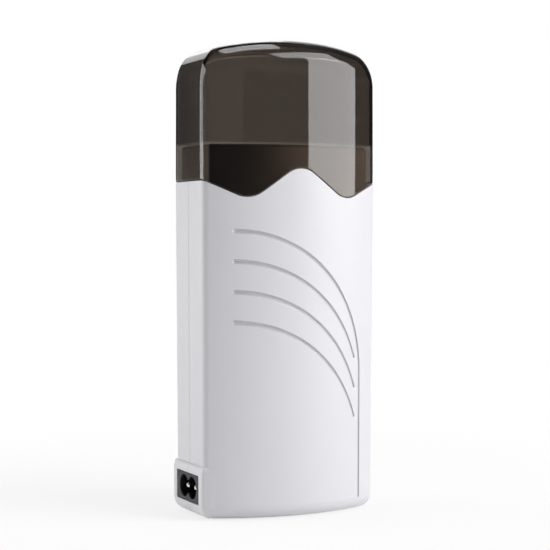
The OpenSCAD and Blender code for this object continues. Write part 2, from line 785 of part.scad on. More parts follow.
// Strap over the fuse, with a foot on the plate
module fuse_clip() {
    r = fuse_r + pin_slip;
    foot_y = plate_back_y + pin_slip;
    z0 = clip_z - clip_w/2;
    color("gold") difference() {
        union() {
            translate([fuse_x, fuse_y, z0]) cylinder(r = r + clip_t, h = clip_w, $fn = 48);
            span([fuse_x - r - clip_t, foot_y, z0], [fuse_x + r + clip_t, fuse_y, z0 + clip_w]);
            span([fuse_x, foot_y, z0], [clip_screw_x + 1.8, foot_y + clip_t, z0 + clip_w]);
        }
        translate([fuse_x, fuse_y, z0 - 1]) cylinder(r = r, h = clip_w + 2, $fn = 48);
        span([fuse_x - r, foot_y - 1, z0 - 1], [fuse_x + r, fuse_y, z0 + clip_w + 1]);
        along_y(clip_screw_x, clip_z, clip_screw_r + pin_slip, 0, body_d);
    }
}

module clip_screw() {
    color("silver") translate([clip_screw_x, plate_back_y + clip_t + 2*pin_slip, clip_z])
        screw(clip_screw_r, 1.5, 0.9, clip_t + 1.5);
}

// ---- Mains inlet ----

module inlet_housing() {
    flange_x = -side_x + wall + seat_gap;
    color([0.12, 0.12, 0.13]) difference() {
        union() {
            span([inlet_face_x, -inlet_w/2, inlet_z - inlet_h/2], [inlet_back_x, inlet_w/2, inlet_z + inlet_h/2]);
            intersection() {
                span([flange_x, -inlet_w/2 - inlet_flange_rim, inlet_flange_low],
                     [flange_x + inlet_flange_t, inlet_w/2 + inlet_flange_rim,
                      inlet_z + inlet_h/2 + inlet_flange_rim]);
                linear_extrude(peak_z) polygon(plan(wall + draft_at(inlet_flange_low) + seat_gap));
            }
        }
        for (s = [-1, 1]) {
            along_x(inlet_face_x - 1, socket_floor_x, s*pin_pitch/2, inlet_z, lobe_r);
            along_x(inlet_face_x, inlet_back_x + 1, s*pin_pitch/2, inlet_z, shank_r + pin_slip);
        }
        span([inlet_face_x - 1, -pin_pitch/2, inlet_z - waist_h/2], [socket_floor_x, pin_pitch/2, inlet_z + waist_h/2]);
    }
}

module inlet_pins() {
    tip = 0.5;
    x0 = inlet_face_x + pin_shy;
    color("silver") for (s = [-1, 1]) {
        along_x(x0 + tip, socket_floor_x - pin_slip, s*pin_pitch/2, inlet_z, pin_r);
        along_x(x0 + tip, inlet_back_x + 0.5, s*pin_pitch/2, inlet_z, shank_r);
        translate([x0, s*pin_pitch/2, inlet_z]) rotate([0, 90, 0])
            cylinder(r1 = pin_r - tip, r2 = pin_r, h = tip, $fn = 48);
        span([inlet_back_x + 0.5 - eps, s*pin_pitch/2 - tab_half_t, inlet_z - tab_half_h],
             [tab_end_x, s*pin_pitch/2 + tab_half_t, inlet_z + tab_half_h]);
    }
}

// Insulating sleeves over the tabs and the ends of the leads
module lead_sleeves() {
    sleeve_in = norm([tab_half_h, tab_half_t]) + 0.2;
    color("white") for (s = [-1, 1]) difference() {
        along_x(inlet_back_x + 0.6, tab_end_x + 5, s*pin_pitch/2, inlet_z, sleeve_in + 0.5);
        along_x(inlet_back_x, tab_end_x + 6, s*pin_pitch/2, inlet_z, sleeve_in);
    }
}

// ---- Leads: round wires swept along smooth routes ----

function unit(v) = v/norm(v);
function on_curve(p, i, t) =
    let (a = p[max(i - 1, 0)], b = p[i], c = p[i + 1], d = p[min(i + 2, len(p) - 1)])
    0.5*(2*b + (c - a)*t + (2*a - 5*b + 4*c - d)*t*t + (3*b - a - 3*c + d)*t*t*t);
function smooth(p, n) =
    concat([for (i = [0:len(p) - 2]) for (k = [0:n - 1]) on_curve(p, i, k/n)], [p[len(p) - 1]]);
function tangents(p) =
    [for (k = [0:len(p) - 1]) unit(p[min(k + 1, len(p) - 1)] - p[max(k - 1, 0)])];
function carry(t, u, k = 0) =
    k == len(t) ? [] : let (v = unit(u - (u*t[k])*t[k])) concat([v], carry(t, v, k + 1));

module lead(route, r) {
    p = smooth(route, 3);
    t = tangents(p);
    u = carry(t, [0.1, 0.2, 1]);
    n = lead_sides;
    m = len(p);
    polyhedron(
        points = [for (k = [0:m - 1]) for (j = [0:n - 1])
            p[k] + r*(cos(360*j/n)*u[k] + sin(360*j/n)*cross(t[k], u[k]))],
        faces = concat(
            [[for (j = [n - 1:-1:0]) j]],
            [[for (j = [0:n - 1]) (m - 1)*n + j]],
            [for (k = [0:m - 2]) for (j = [0:n - 1]) let (a = k*n + j, b = k*n + (j + 1)%n)
                each [[a, b, b + n], [a, b + n, a + n]]]),
        convexity = 6);
}

lead_r = 1;
thin_r = 0.5;
pin_y = pin_pitch/2;
thin_dz = lead_r + thin_r + 0.05;
fuse_low_z = heater_z - fuse_len/2 - fuse_wire_len;
fuse_high_z = heater_z + fuse_len/2 + fuse_wire_len;
turn_z = well_floor_z - well_floor_t;

// From the inlet, under the well and up the heater to the fuse
module live_lead() {
    color("sienna") lead([
        [tab_end_x, pin_y, inlet_z], [tab_end_x + 6, pin_y, inlet_z], [tab_end_x + 11, pin_y + 0.4, inlet_z + 1.6],
        [-3, 7.5, 22], [2, 10, 32], [8, 14.5, turn_z - 9], [fuse_x - 1, fuse_y - 1, turn_z - 2],
        [fuse_x, fuse_y, turn_z + 8], [fuse_x, fuse_y, fuse_low_z - 6], [fuse_x, fuse_y, fuse_low_z]], lead_r);
}

// From the fuse over the plate's upper end to the inner strip
module bridge_lead() {
    top = heater_z + tab_reach;
    y = inner_strip_y + strip_t/2;
    color("sienna") lead([
        [fuse_x, fuse_y, fuse_high_z], [fuse_x, fuse_y, fuse_high_z + 7], [fuse_x - 0.3, fuse_y - 0.1, top - 5],
        [fuse_x - 2.6, fuse_y - 0.8, top + 2.2], [tab_x + 2, y + 0.2, top + 4.4], [tab_x + 0.2, y, top + 3],
        [tab_x, y, top]], lead_r);
}

// From the inlet, under the well to the outer strip
module neutral_lead() {
    low = heater_z - tab_reach;
    y = outer_strip_y + strip_t/2;
    color("steelblue") lead([
        [tab_end_x, -pin_y, inlet_z], [tab_end_x + 6, -pin_y, inlet_z], [tab_end_x + 10, -3.6, inlet_z + 2.2],
        [-8, -1, 22], [-9, 5, 31], [-7, 11.5, turn_z - 13], [-2, 16, turn_z - 7],
        [tab_x - 1.8, y - 1, low - 6], [tab_x, y, low - 2.5], [tab_x, y, low]], lead_r);
}

// From the inlet's tabs to the pilot lamp's board
module pilot_leads() {
    y = board_y + board_t/2;
    z = pilot_z - board_h/2;
    color("crimson") {
        lead([[tab_end_x, pin_y, inlet_z + thin_dz], [tab_end_x + 5.5, pin_y, inlet_z + thin_dz],
              [-11, 7, 15], [-8, 12.5, 15.6], [-5.4, y - 1.4, z - 4], [-5, y, z - 1.5], [-5, y, z]], thin_r);
        lead([[tab_end_x, -pin_y, inlet_z + thin_dz], [tab_end_x + 5.5, -pin_y, inlet_z + thin_dz],
              [-12, -1.5, 16.5], [-10.5, 4, 18.6], [-6.5, 11, 18.4], [-2.4, y - 1.4, z - 3.4], [-2, y, z - 1.5],
              [-2, y, z]], thin_r);
    }
}

// ---- Pilot lamp in the back ----

module pilot_board() {
    color("seagreen") difference() {
        span([-board_w/2, board_y, pilot_z - board_h/2], [board_w/2, board_y + board_t, pilot_z + board_h/2]);
        for (s = [-1, 1]) along_y(s*board_post_x, pilot_z, board_screw_r + slip, 0, body_d);
    }
}

module board_screws() {
    color("silver") for (s = [-1, 1])
        translate([s*board_post_x, board_y - pin_slip, pilot_z]) mirror([0, 1, 0])
            screw(board_screw_r, 1.5, 0.9, board_t + 3);
}

module pilot_led() {
    y = board_y + board_t + pin_slip;
    color("orangered") {
        along_y(0, pilot_z, led_r + 0.35, y, y + 0.8);
        along_y(0, pilot_z, led_r, y, y + led_len);
        translate([0, y + led_len, pilot_z]) sphere(r = led_r, $fn = 32);
    }
}

module pilot_resistor() {
    r = 1.1;
    z = pilot_z - board_h/2 + 2.2;
    color("burlywood") {
        along_x(-3, 3, board_y - r - pin_slip, z, r);
        for (s = [-1, 1]) {
            span([s > 0 ? 2.9 : -4.2, board_y - r - 0.3, z - 0.25], [s > 0 ? 4.2 : -2.9, board_y - r + 0.2, z + 0.25]);
            span([s > 0 ? 3.7 : -4.2, board_y - r - 0.3, z - 0.25], [s > 0 ? 4.2 : -3.7, board_y, z + 0.25]);
        }
    }
}

// Domed lens with a collar behind the shell
module pilot_lens() {
    out_y = body_d/2 - draft_at(pilot_z);
    dome = 0.55;
    r = (lens_r*lens_r + dome*dome)/(2*dome);
    color("tomato") union() {
        along_y(0, pilot_z, lens_r + 0.9, lens_back_y, lens_back_y + 0.75);
        along_y(0, pilot_z, lens_r, lens_back_y, out_y - 0.1);
        intersection() {
            translate([0, out_y - 0.1 + dome - r, pilot_z]) sphere(r = r, $fn = 96);
            along_y(0, pilot_z, lens_r, out_y - 0.2, out_y + dome);
        }
    }
}

front_shell();
rear_shell();
shell_screws();
cap();
well();
well_screws();
leaf_spring();
spring_rivet();
heating_plate();
heating_pellets();
contact_strips();
insulating_films();
clamp_bar();
clamp_screws();
thermal_fuse();
fuse_clip();
clip_screw();
inlet_housing();
inlet_pins();
lead_sleeves();
live_lead();
bridge_lead();
neutral_lead();
pilot_leads();
pilot_board();
board_screws();
pilot_led();
pilot_resistor();
pilot_lens();
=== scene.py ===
# %% [markdown]
# # A roll-on wax heater
# The heater is a white moulded housing with a bowed front, a dark neck that holds the wax cartridge, and a
# smoky cap that lifts off. Its frame comes in first: every piece below sits on it, in metres, and follows
# its two bodies, the housing and the cap.

# %% The frame
import json
import math

import bmesh
import bpy
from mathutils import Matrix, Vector


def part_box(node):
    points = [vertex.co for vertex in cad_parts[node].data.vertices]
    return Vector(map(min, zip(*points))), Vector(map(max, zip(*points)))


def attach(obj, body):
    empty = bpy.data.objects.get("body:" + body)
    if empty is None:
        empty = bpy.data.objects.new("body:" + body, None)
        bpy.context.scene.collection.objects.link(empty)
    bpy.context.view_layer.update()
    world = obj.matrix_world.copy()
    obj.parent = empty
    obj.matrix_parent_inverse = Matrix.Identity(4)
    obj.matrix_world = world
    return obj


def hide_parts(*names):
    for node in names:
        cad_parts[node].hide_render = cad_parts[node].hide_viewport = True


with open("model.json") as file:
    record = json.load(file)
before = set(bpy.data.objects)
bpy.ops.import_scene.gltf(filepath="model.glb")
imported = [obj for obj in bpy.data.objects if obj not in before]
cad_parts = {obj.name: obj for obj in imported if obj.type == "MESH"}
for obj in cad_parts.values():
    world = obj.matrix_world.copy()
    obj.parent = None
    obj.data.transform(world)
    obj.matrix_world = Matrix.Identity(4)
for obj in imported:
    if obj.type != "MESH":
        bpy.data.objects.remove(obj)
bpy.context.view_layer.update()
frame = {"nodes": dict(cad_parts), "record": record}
mm = 0.001

# %% [markdown]
# ## The camera
# The heater was photographed from a little to the left of its front and almost level with it, through a long
# lens, so its upright edges stay nearly parallel. The camera circles a point on the housing's axis. Its
# distance sets how strongly the near edges spread, and its focal length then sets the size in the picture.


# %% The camera
def towards(turn, height):
    """The direction to the right of the front by one angle and up by the other."""
    return Vector((math.sin(turn) * math.cos(height), -math.cos(turn) * math.cos(height), math.sin(height)))


azimuth, elevation, distance = math.radians(-25.298), math.radians(1.439), 660.1 * mm
focal_px, picture_px = 1529.9, 550
aim_right, aim_up = 0.09, 100.8
right = Vector((math.cos(azimuth), math.sin(azimuth), 0))
back = towards(azimuth, elevation)
aim = right * aim_right * mm + Vector((0, 0, aim_up * mm))
lens = bpy.data.cameras.new("camera")
lens.sensor_width = 36
lens.lens = focal_px / picture_px * lens.sensor_width
lens.clip_start, lens.clip_end = 0.05, 50
camera = bpy.data.objects.new("camera", lens)
camera.location = aim + back * distance
camera.rotation_mode = "QUATERNION"
camera.rotation_quaternion = (-back).to_track_quat("-Z", "Y")
bpy.context.scene.collection.objects.link(camera)
bpy.context.scene.camera = camera
print("camera: %.1f mm lens, %.0f mm away" % (lens.lens, distance / mm))

# %% [markdown]
# ## Working by hand
# An operator acts on whatever is selected, so each step begins with nothing selected and then picks what it
# needs by its place. These few helpers do what the mouse and keyboard do: choose an object, open it for
# editing, pick some of it, and close it again with its place in its mesh. Lengths are in millimetres, and
# `far` lies past everything.


# %% Choosing and picking
far = 60


def choose(piece):
    bpy.ops.object.select_all(action="DESELECT")
    piece.select_set(True)
    bpy.context.view_layer.objects.active = piece


def open_mesh(piece):
    choose(piece)
    bpy.ops.object.mode_set(mode="EDIT")
    bpy.ops.mesh.select_mode(type="VERT")
    bpy.ops.mesh.select_all(action="DESELECT")


def close_mesh(outwards=True):
    if outwards:
        bpy.ops.mesh.select_all(action="SELECT")
        bpy.ops.mesh.normals_make_consistent(inside=False)
    bpy.ops.object.mode_set(mode="OBJECT")


def pick(kind, rule):
    """Selects the vertices, edges or faces whose middle passes the rule, and says how many."""
    bpy.ops.mesh.select_mode(type={"verts": "VERT", "edges": "EDGE", "faces": "FACE"}[kind])
    bpy.ops.mesh.select_all(action="DESELECT")
    mesh = bmesh.from_edit_mesh(bpy.context.object.data)
    found = 0
    for part in getattr(mesh, kind):
        if kind == "verts":
            good = rule(part.co)
        elif kind == "edges":
            good = rule(part.verts[0].co, part.verts[1].co)
        else:
            good = rule(part.calc_center_median(), part.normal)
        part.select_set(good)
        found += good
    mesh.select_flush_mode()
    bmesh.update_edit_mesh(bpy.context.object.data)
    return found


def settle(piece):
    """Puts the piece's place, turn and size into its mesh."""
    choose(piece)
    bpy.ops.object.transform_apply(location=True, rotation=True, scale=True)


def finish_modifiers(piece):
    choose(piece)
    for modifier in list(piece.modifiers):
        bpy.ops.object.modifier_apply(modifier=modifier.name)


def carve(piece, tool, operation="DIFFERENCE"):
    """Cuts, joins or keeps what two closed shapes share, and throws the tool away."""
    step = piece.modifiers.new("carve", "BOOLEAN")
    step.object, step.operation, step.solver = tool, operation, "EXACT"
    finish_modifiers(piece)
    bpy.data.objects.remove(tool)


def copy_of(piece, name):
    twin = piece.copy()
    twin.data = piece.data.copy()
    twin.name = name
    bpy.context.scene.collection.objects.link(twin)
    return twin


def box(name, low, high):
    centre = [(a + b) / 2 * mm for a, b in zip(low, high)]
    bpy.ops.mesh.primitive_cube_add(size=1, location=centre)
    piece = bpy.context.object
    piece.name = name
    piece.scale = [(b - a) * mm for a, b in zip(low, high)]
    settle(piece)
    return piece


def rod(name, start, end, radius, sides=64):
    """A cylinder from one point to another, in millimetres."""
    a, b = Vector(start) * mm, Vector(end) * mm
    bpy.ops.mesh.primitive_cylinder_add(
        vertices=sides, radius=radius * mm, depth=(b - a).length, location=(a + b) / 2
    )
    piece = bpy.context.object
    piece.name = name
    piece.rotation_mode = "QUATERNION"
    piece.rotation_quaternion = (b - a).to_track_quat("Z", "Y")
    settle(piece)
    return piece


def ease(piece, on_edge, offset, segments):
    """Rounds the edges whose two ends pass the rule, and says how many there are."""
    open_mesh(piece)
    found = pick("edges", lambda a, b: on_edge(a) and on_edge(b))
    bpy.ops.mesh.bevel(offset=offset * mm, segments=segments, clamp_overlap=False)
    close_mesh()
    return found


def smooth(piece, sharp_from=24):
    """Smooth shading that leaves sharp edges sharp and keeps the large faces' own normals."""
    choose(piece)
    bpy.ops.object.shade_smooth_by_angle(angle=math.radians(sharp_from))
    weighted = piece.modifiers.new("weighted", "WEIGHTED_NORMAL")
    weighted.keep_sharp = True
    finish_modifiers(piece)


# %% [markdown]
# ## One outline for everything
# Seen from above, the housing, the neck and the cap share one outline: a front and a back bowed to a radius
# of 82 mm, two flat sides, and four small corners. A piece that lies further in has the same outline, inset.
# So the outline is worked out once, as a rule, and each moulding is made by extruding a ring upwards again
# and again: every extruded vertex keeps its own step of the outline, and moves to that step of the next ring.

# %% The outline
width, depth, face_r, corner_r, lean = 80.6, 52.6, 82.0, 4.5, 0.9
peak_z, trough_z, trough_x = 145.6, 133.7, 23.2
arc_y = face_r - depth / 2
face_steps, corner_steps, least_corner = 60, 9, 0.5


def outline(inset, corner=corner_r):
    """Points anticlockwise from the left end of the front, in millimetres."""
    r = max(corner - inset, least_corner)
    x = width / 2 - inset - r
    y = math.sqrt((face_r - inset - r) ** 2 - x * x) - arc_y
    turn = math.degrees(math.asin(x / (face_r - inset - r)))

    def arc(cx, cy, radius, start, end, steps):
        angles = [math.radians(start + (end - start) * k / steps) for k in range(steps + 1)]
        return [(cx + radius * math.cos(a), cy + radius * math.sin(a)) for a in angles]

    return (
        arc(0, arc_y, face_r - inset, 270 - turn, 270 + turn, face_steps)
        + arc(x, -y, r, turn - 90, 0, corner_steps)[1:]
        + arc(x, y, r, 0, 90 - turn, corner_steps)
        + arc(0, -arc_y, face_r - inset, 90 - turn, 90 + turn, face_steps)[1:]
        + arc(-x, y, r, 90 + turn, 180, corner_steps)[1:]
        + arc(-x, -y, r, 180, 270 - turn, corner_steps)[:-1]
    )


def lean_at(z):
    """How much further in the housing's faces lie at a height, as a mould needs."""
    return lean * (1 - z / peak_z)


def bow_y(x, inset=0.0):
    """How far the bowed face lies from the middle, at a distance x to the side."""
    return math.sqrt((face_r - inset) ** 2 - x * x) - arc_y


def half_depth(x, inset):
    """Half the outline's depth at a distance x to the side, its round corners included."""
    r = max(corner_r - inset, least_corner)
    centre = width / 2 - inset - r
    low = math.sqrt((face_r - inset - r) ** 2 - centre * centre) - arc_y
    if abs(x) <= centre * (face_r - inset) / (face_r - inset - r):
        return bow_y(x, inset)
    return low + math.sqrt(max(r * r - (abs(x) - centre) ** 2, 0))


def put_ring(points, height):
    """Moves each selected vertex to its own step of the ring."""
    mesh = bmesh.from_edit_mesh(bpy.context.object.data)
    step = mesh.verts.layers.int["step"]
    for v in mesh.verts:
        if v.select:
            x, y = points[v[step]]
            z = height(x, y) if callable(height) else height
            v.co = Vector((x, y, z)) * mm
    bmesh.update_edit_mesh(bpy.context.object.data)


def quarter(steps):
    """Angles from 0 to 90 degrees."""
    return [math.radians(90 * k / steps) for k in range(steps + 1)]


def moulding(name, rings):
    """A closed body: a ring on the ground, extruded through each (outline, height) in turn."""
    points, height = rings[0]
    bpy.ops.object.select_all(action="DESELECT")
    bpy.ops.mesh.primitive_circle_add(vertices=len(points), radius=0.04, fill_type="NGON")
    piece = bpy.context.object
    piece.name = name
    steps = piece.data.attributes.new("step", "INT", "POINT")
    for k in range(len(points)):
        steps.data[k].value = k
    bpy.ops.object.mode_set(mode="EDIT")
    bpy.ops.mesh.select_all(action="SELECT")
    put_ring(points, height)
    for points, height in rings[1:]:
        bpy.ops.mesh.extrude_region_move()
        put_ring(points, height)
    close_mesh()
    return piece


print("outline:", len(outline(0)), "points,", width, "by", depth, "mm")

# %% [markdown]
# ## The blank of the housing
# The housing is a thin shell. Its blank is a solid body with a 6 mm round along the base and sides that lean
# in a little towards it. The same blank, inset by the wall, is what has to be cut out later. The rings above
# the round keep the tall faces short, so they shade evenly, and none of them crosses a hole.

# %% Blanks
base_r, base_steps, wall = 6.0, 14, 2.4
ring_heights = (20, 24, 33, 43, 54, 66, 78, 90, 102, 113, 123, 129)


def housing_blank(name, inset, top):
    r = base_r - inset
    rings = []
    for a in quarter(base_steps):
        z = inset + r * (1 - math.cos(a))
        rings.append((outline(inset + lean_at(z) + r * (1 - math.sin(a))), z))
    rings += [(outline(inset + lean_at(z)), z) for z in (*ring_heights, top)]
    return moulding(name, rings)


shell = housing_blank("shell", 0, peak_z + 3)
print("blank: %d faces" % len(shell.data.polygons))

# %% [markdown]
# ## The pad round the inlet
# Low on the left, a flat pad stands 1.2 mm out of the housing and wraps both upright corners. It is the
# blank again, a little larger and with sharper corners, trimmed to its outline as seen from the front. Its
# upper edge runs out in a short ramp.

# %% The pad
inlet_z, inlet_w, inlet_h = 12.0, 23.7, 12.0
pad_out, pad_top, pad_ramp, pad_ramp_steps, pad_wrap = 1.2, 22.0, 4.0, 12, 2.8
pad_edge_r, pad_corner = 1.2, 4.5
side_x = width / 2 - lean_at(inlet_z)
pad_right = -side_x + pad_wrap
pad_rings = []
for a in quarter(base_steps):
    z = base_r * (1 - math.cos(a))
    pad_rings.append((outline(lean_at(z) - pad_out + base_r * (1 - math.sin(a)), pad_edge_r), z))
for a in quarter(pad_ramp_steps):
    z = pad_top - pad_ramp * (1 - math.sin(a))
    pad_rings.append((outline(lean_at(z) - pad_out * math.cos(a), pad_edge_r), z))
pad = moulding("pad", pad_rings)
trim = box("trim", (-far, -40, -5), (pad_right, 40, pad_top + 1))
open_mesh(trim)
pick("edges", lambda a, b: min(a.x, b.x) > (pad_right - 0.1) * mm and min(a.z, b.z) > pad_top * mm)
bpy.ops.mesh.bevel(offset=pad_corner * mm, segments=10)
close_mesh()
carve(pad, trim, "INTERSECT")
carve(shell, pad, "UNION")
print("pad: its front step stands at x = %.1f mm" % pad_right)

# %% [markdown]
# ## The wavy edge
# The housing ends in a wave that the cap's lower edge follows, with a fine open line between them. Seen from
# the front it is three arcs joined by straight flanks. A vertex is extruded along it, point after point, the
# outline is closed above, and the face is extruded from front to back. What it covers is cut away.

# %% The wave
steepness, climb = 1.4, math.radians(25)
crest_steps, dip_steps, wave_end = 12, 22, 50
flank = math.atan(steepness * (peak_z - trough_z) / trough_x)
wave_r = trough_x * (1 - 1 / steepness) / (2 * math.tan(flank / 2))
crest_half, dip_half = wave_r * math.sin(flank), wave_r * math.sin(climb)


def sag(d):
    return wave_r - math.sqrt(wave_r**2 - d * d)


def wave_z(x):
    u = abs(x)
    if u <= crest_half:
        return peak_z - sag(u)
    if u <= trough_x - crest_half:
        return peak_z - sag(crest_half) - (u - crest_half) * math.tan(flank)
    if u <= trough_x + dip_half:
        return trough_z + sag(trough_x - u)
    return trough_z + sag(dip_half) + (u - trough_x - dip_half) * math.tan(climb)


def spaced(a, b, n):
    return [a + (b - a) * k / n for k in range(n + 1)]


def wave_tool(name, gap, up):
    """A body above the wave, or below it, that starts gap over the housing's edge."""
    half = spaced(0, crest_half, crest_steps)
    half += spaced(trough_x - crest_half, trough_x + dip_half, dip_steps) + [wave_end]
    xs = [-x for x in reversed(half[1:])] + half
    speck = 0.001
    bpy.ops.mesh.primitive_plane_add(size=speck)
    piece = bpy.context.object
    piece.name = name
    open_mesh(piece)
    pick("verts", lambda p: p.x > 0 or p.y > 0)
    bpy.ops.mesh.delete(type="VERT")
    pick("verts", lambda p: True)
    here = Vector((-speck / 2, -speck / 2, 0))
    end_z = 260.0 if up else -60.0
    route = [(x, wave_z(x) + gap) for x in xs] + [(wave_end, end_z), (-wave_end, end_z)]
    for k, (x, z) in enumerate(route):
        target = Vector((x, -far, z)) * mm
        if k == 0:
            bpy.ops.transform.translate(value=target - here)
        else:
            bpy.ops.mesh.extrude_region_move(TRANSFORM_OT_translate={"value": target - here})
        here = target
    pick("verts", lambda p: True)
    bpy.ops.mesh.edge_face_add()
    bpy.ops.mesh.extrude_region_move(TRANSFORM_OT_translate={"value": (0, 2 * far * mm, 0)})
    close_mesh()
    return piece


carve(shell, wave_tool("above", 0, True))
print("wave: flanks at %.1f degrees, arcs of %.1f mm" % (math.degrees(flank), wave_r))

# %% [markdown]
# ## Hollow, with a window for the inlet
# The inside blank is cut out, which leaves a wall of 2.4 mm, open at the top. An oblong window in the
# left side takes the inlet.

# %% Hollow
carve(shell, housing_blank("inside", wall, peak_z + 6))
window_gap, window_deep = 0.13, 6
window = box(
    "window",
    (-far, -inlet_w / 2 - window_gap, inlet_z - inlet_h / 2 - window_gap),
    (-side_x + window_deep, inlet_w / 2 + window_gap, inlet_z + inlet_h / 2 + window_gap),
)
carve(shell, window)
print("shell: %d faces" % len(shell.data.polygons))

# %% [markdown]
# ## Two halves
# The shell is moulded as a front and a back that meet at the middle of the sides, each half a hair short of
# it. Both edges of the joint have a small round, so it shows as a fine line.

# %% Halves
joint_gap, joint_round, joint_band = 0.06, 0.28, 1.6
rear = copy_of(shell, "rear_moulding")
front = shell
front.name = "front_moulding"
carve(front, box("behind", (-far, -joint_gap, -5), (far, far, 170)))
carve(rear, box("before", (-far, -far, -5), (far, joint_gap, 170)))


def ease_joint(piece, side):
    """Rounds the outer edge of a half where it meets the other."""

    def outside(p):
        on_joint = abs(p.y - side * joint_gap * mm) < 0.01 * mm
        return on_joint and (abs(p.x) > (width / 2 - joint_band) * mm or p.z < 0.2 * mm)

    return ease(piece, outside, joint_round, 3)


print("joint: eased", ease_joint(front, -1), "and", ease_joint(rear, 1), "edges")

# %% [markdown]
# ## The grooves
# Four grooves sweep down over the front. Each is a quarter circle, or a little less, that gets finer to the
# right, and the highest one goes on straight down, close to the right edge. They are shallow channels with a
# round floor, as a ball cutter would leave, so a tapered tube laid along the bowed face is cut out of it. A
# ball at the tube's wide end gives the groove its round start.

# %% The grooves
groove_top, groove_pitch, groove_r, groove_x, groove_foot = 119.7, 12.6, 60.0, 30.4, 5.5
groove_wide, groove_fine, groove_deep, fine_deep = 2.1, 1.1, 1.0, 0.65
groove_start, groove_turns, arc_steps, foot_steps = 88.6, (90, 72, 72, 72), 48, 12


def channel(share):
    """Radius of the ball and how far its middle lies outside the face, at a share of the groove."""
    w = groove_wide + (groove_fine - groove_wide) * share
    d = groove_deep + (fine_deep - groove_deep) * share
    r = (w * w / 4 + d * d) / (2 * d)
    return r, r - d


def groove_route(number):
    """Places along a groove as x, z and the share of the taper."""
    turn = groove_turns[number] + groove_start - 90
    route = []
    for k in range(arc_steps + 1):
        a = math.radians(groove_start - turn * k / arc_steps)
        x = groove_x - groove_r + groove_r * math.cos(a)
        z = groove_top - number * groove_pitch - groove_r + groove_r * math.sin(a)
        route.append((x, z, k / arc_steps))
    if number == 0:
        low = groove_top - groove_r
        drop = groove_foot - low
        route += [(groove_x, low + drop * k / foot_steps, 1.0) for k in range(1, foot_steps + 1)]
    return route


def cut_groove(number):
    route = groove_route(number)
    line = bpy.data.curves.new("groove", "CURVE")
    line.dimensions = "3D"
    line.bevel_depth, line.bevel_resolution, line.use_fill_caps = 1.0, 6, True
    spline = line.splines.new("POLY")
    spline.points.add(len(route) - 1)
    for point, (x, z, share) in zip(spline.points, route):
        r, out = channel(share)
        y = -bow_y(x, lean_at(z)) - out * math.cos(math.asin(x / face_r))
        x += out * x / face_r
        point.co = (x * mm, y * mm, z * mm, 1)
        point.radius = r * mm
    start = spline.points[0]
    bpy.ops.mesh.primitive_uv_sphere_add(
        segments=32, ring_count=24, radius=start.radius * 0.999, location=start.co.xyz
    )
    settle(bpy.context.object)
    carve(front, bpy.context.object)
    tube = bpy.data.objects.new("groove", line)
    bpy.context.scene.collection.objects.link(tube)
    choose(tube)
    bpy.ops.object.convert(target="MESH")
    tube = bpy.context.object
    open_mesh(tube)
    pick("verts", lambda p: True)
    bpy.ops.mesh.remove_doubles(threshold=0.001 * mm)
    close_mesh()
    carve(front, tube)


for number in range(len(groove_turns)):
    cut_groove(number)
print("front: %d faces with its grooves" % len(front.data.polygons))

# %% [markdown]
# ## Inside the shell
# Round posts reach from each half to the other, and screws pull the halves together through them. A ledge
# runs round inside, just under the neck's flange, and two ribs hold the inlet's flange. They are plain rods
# and blocks that first get trimmed by a body running inside the walls, so that none comes through the face.

# %% Posts and ledge
screw_places = [(side * x, z) for side in (-1, 1) for x, z in ((34.3, 118.0), (29.0, 38.0))]
lug_x, lug_z, lug_r, lug_back = 33.7, 68.0, 2.5, 2
lamp_z, board_post_x, board_post_r = 28.0, 6.6, 1.9
board_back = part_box("pilot_board")[1].y / mm
well_w, well_d, well_r, well_y, well_wall, well_floor = 58.0, 33.0, 10.0, -2.0, 1.6, 55.7
flange_z, flange_t, ledge_low, ledge_high = 129.5, 2.0, 127.4, 129.4
post_r, post_wide_r, post_wide_y, within = 2.9, 3.9, 8, 1.2
rib_x, rib_y, rib_t, rib_low = -side_x + 4.2, inlet_w / 2 + 0.25, 1.6, 6


def well_block(name, grow, low, high):
    """A block of the well's plan, with round upright corners."""
    piece = box(
        name,
        (-well_w / 2 - grow, well_y - well_d / 2 - grow, low),
        (well_w / 2 + grow, well_y + well_d / 2 + grow, high),
    )
    open_mesh(piece)
    pick("edges", lambda a, b: abs(a.z - b.z) > 0.001 * mm)
    bpy.ops.mesh.bevel(offset=(well_r + grow) * mm, segments=14)
    close_mesh()
    return piece


def inside_ring():
    """The ledge under the neck's flange."""
    plan, hole = outline(wall - 0.3), outline(wall + 2)
    ledge = moulding("ledge", [(plan, ledge_low), (plan, ledge_high)])
    carve(ledge, moulding("hole", [(hole, 126), (hole, 131)]))
    carve(ledge, well_block("room", well_wall + 0.25, 120, 135))
    return ledge


def fit_inside(half, parts, side):
    """Trims the parts to within the wall and joins them to a half, and then its share of the ledge."""
    for part in parts:
        limit = moulding("limit", [(outline(within + lean), 1), (outline(within), peak_z - 4)])
        carve(part, limit, "INTERSECT")
        carve(half, part, "UNION")
    ledge = inside_ring()
    low_y, high_y = (-far, -joint_gap) if side < 0 else (joint_gap, far)
    carve(ledge, box("half", (-far, low_y, 100), (far, high_y, 150)), "INTERSECT")
    carve(half, ledge, "UNION")


def posts(places, start, end, radius):
    return [rod("post", (x, start, z), (x, end, z), radius) for x, z in places]


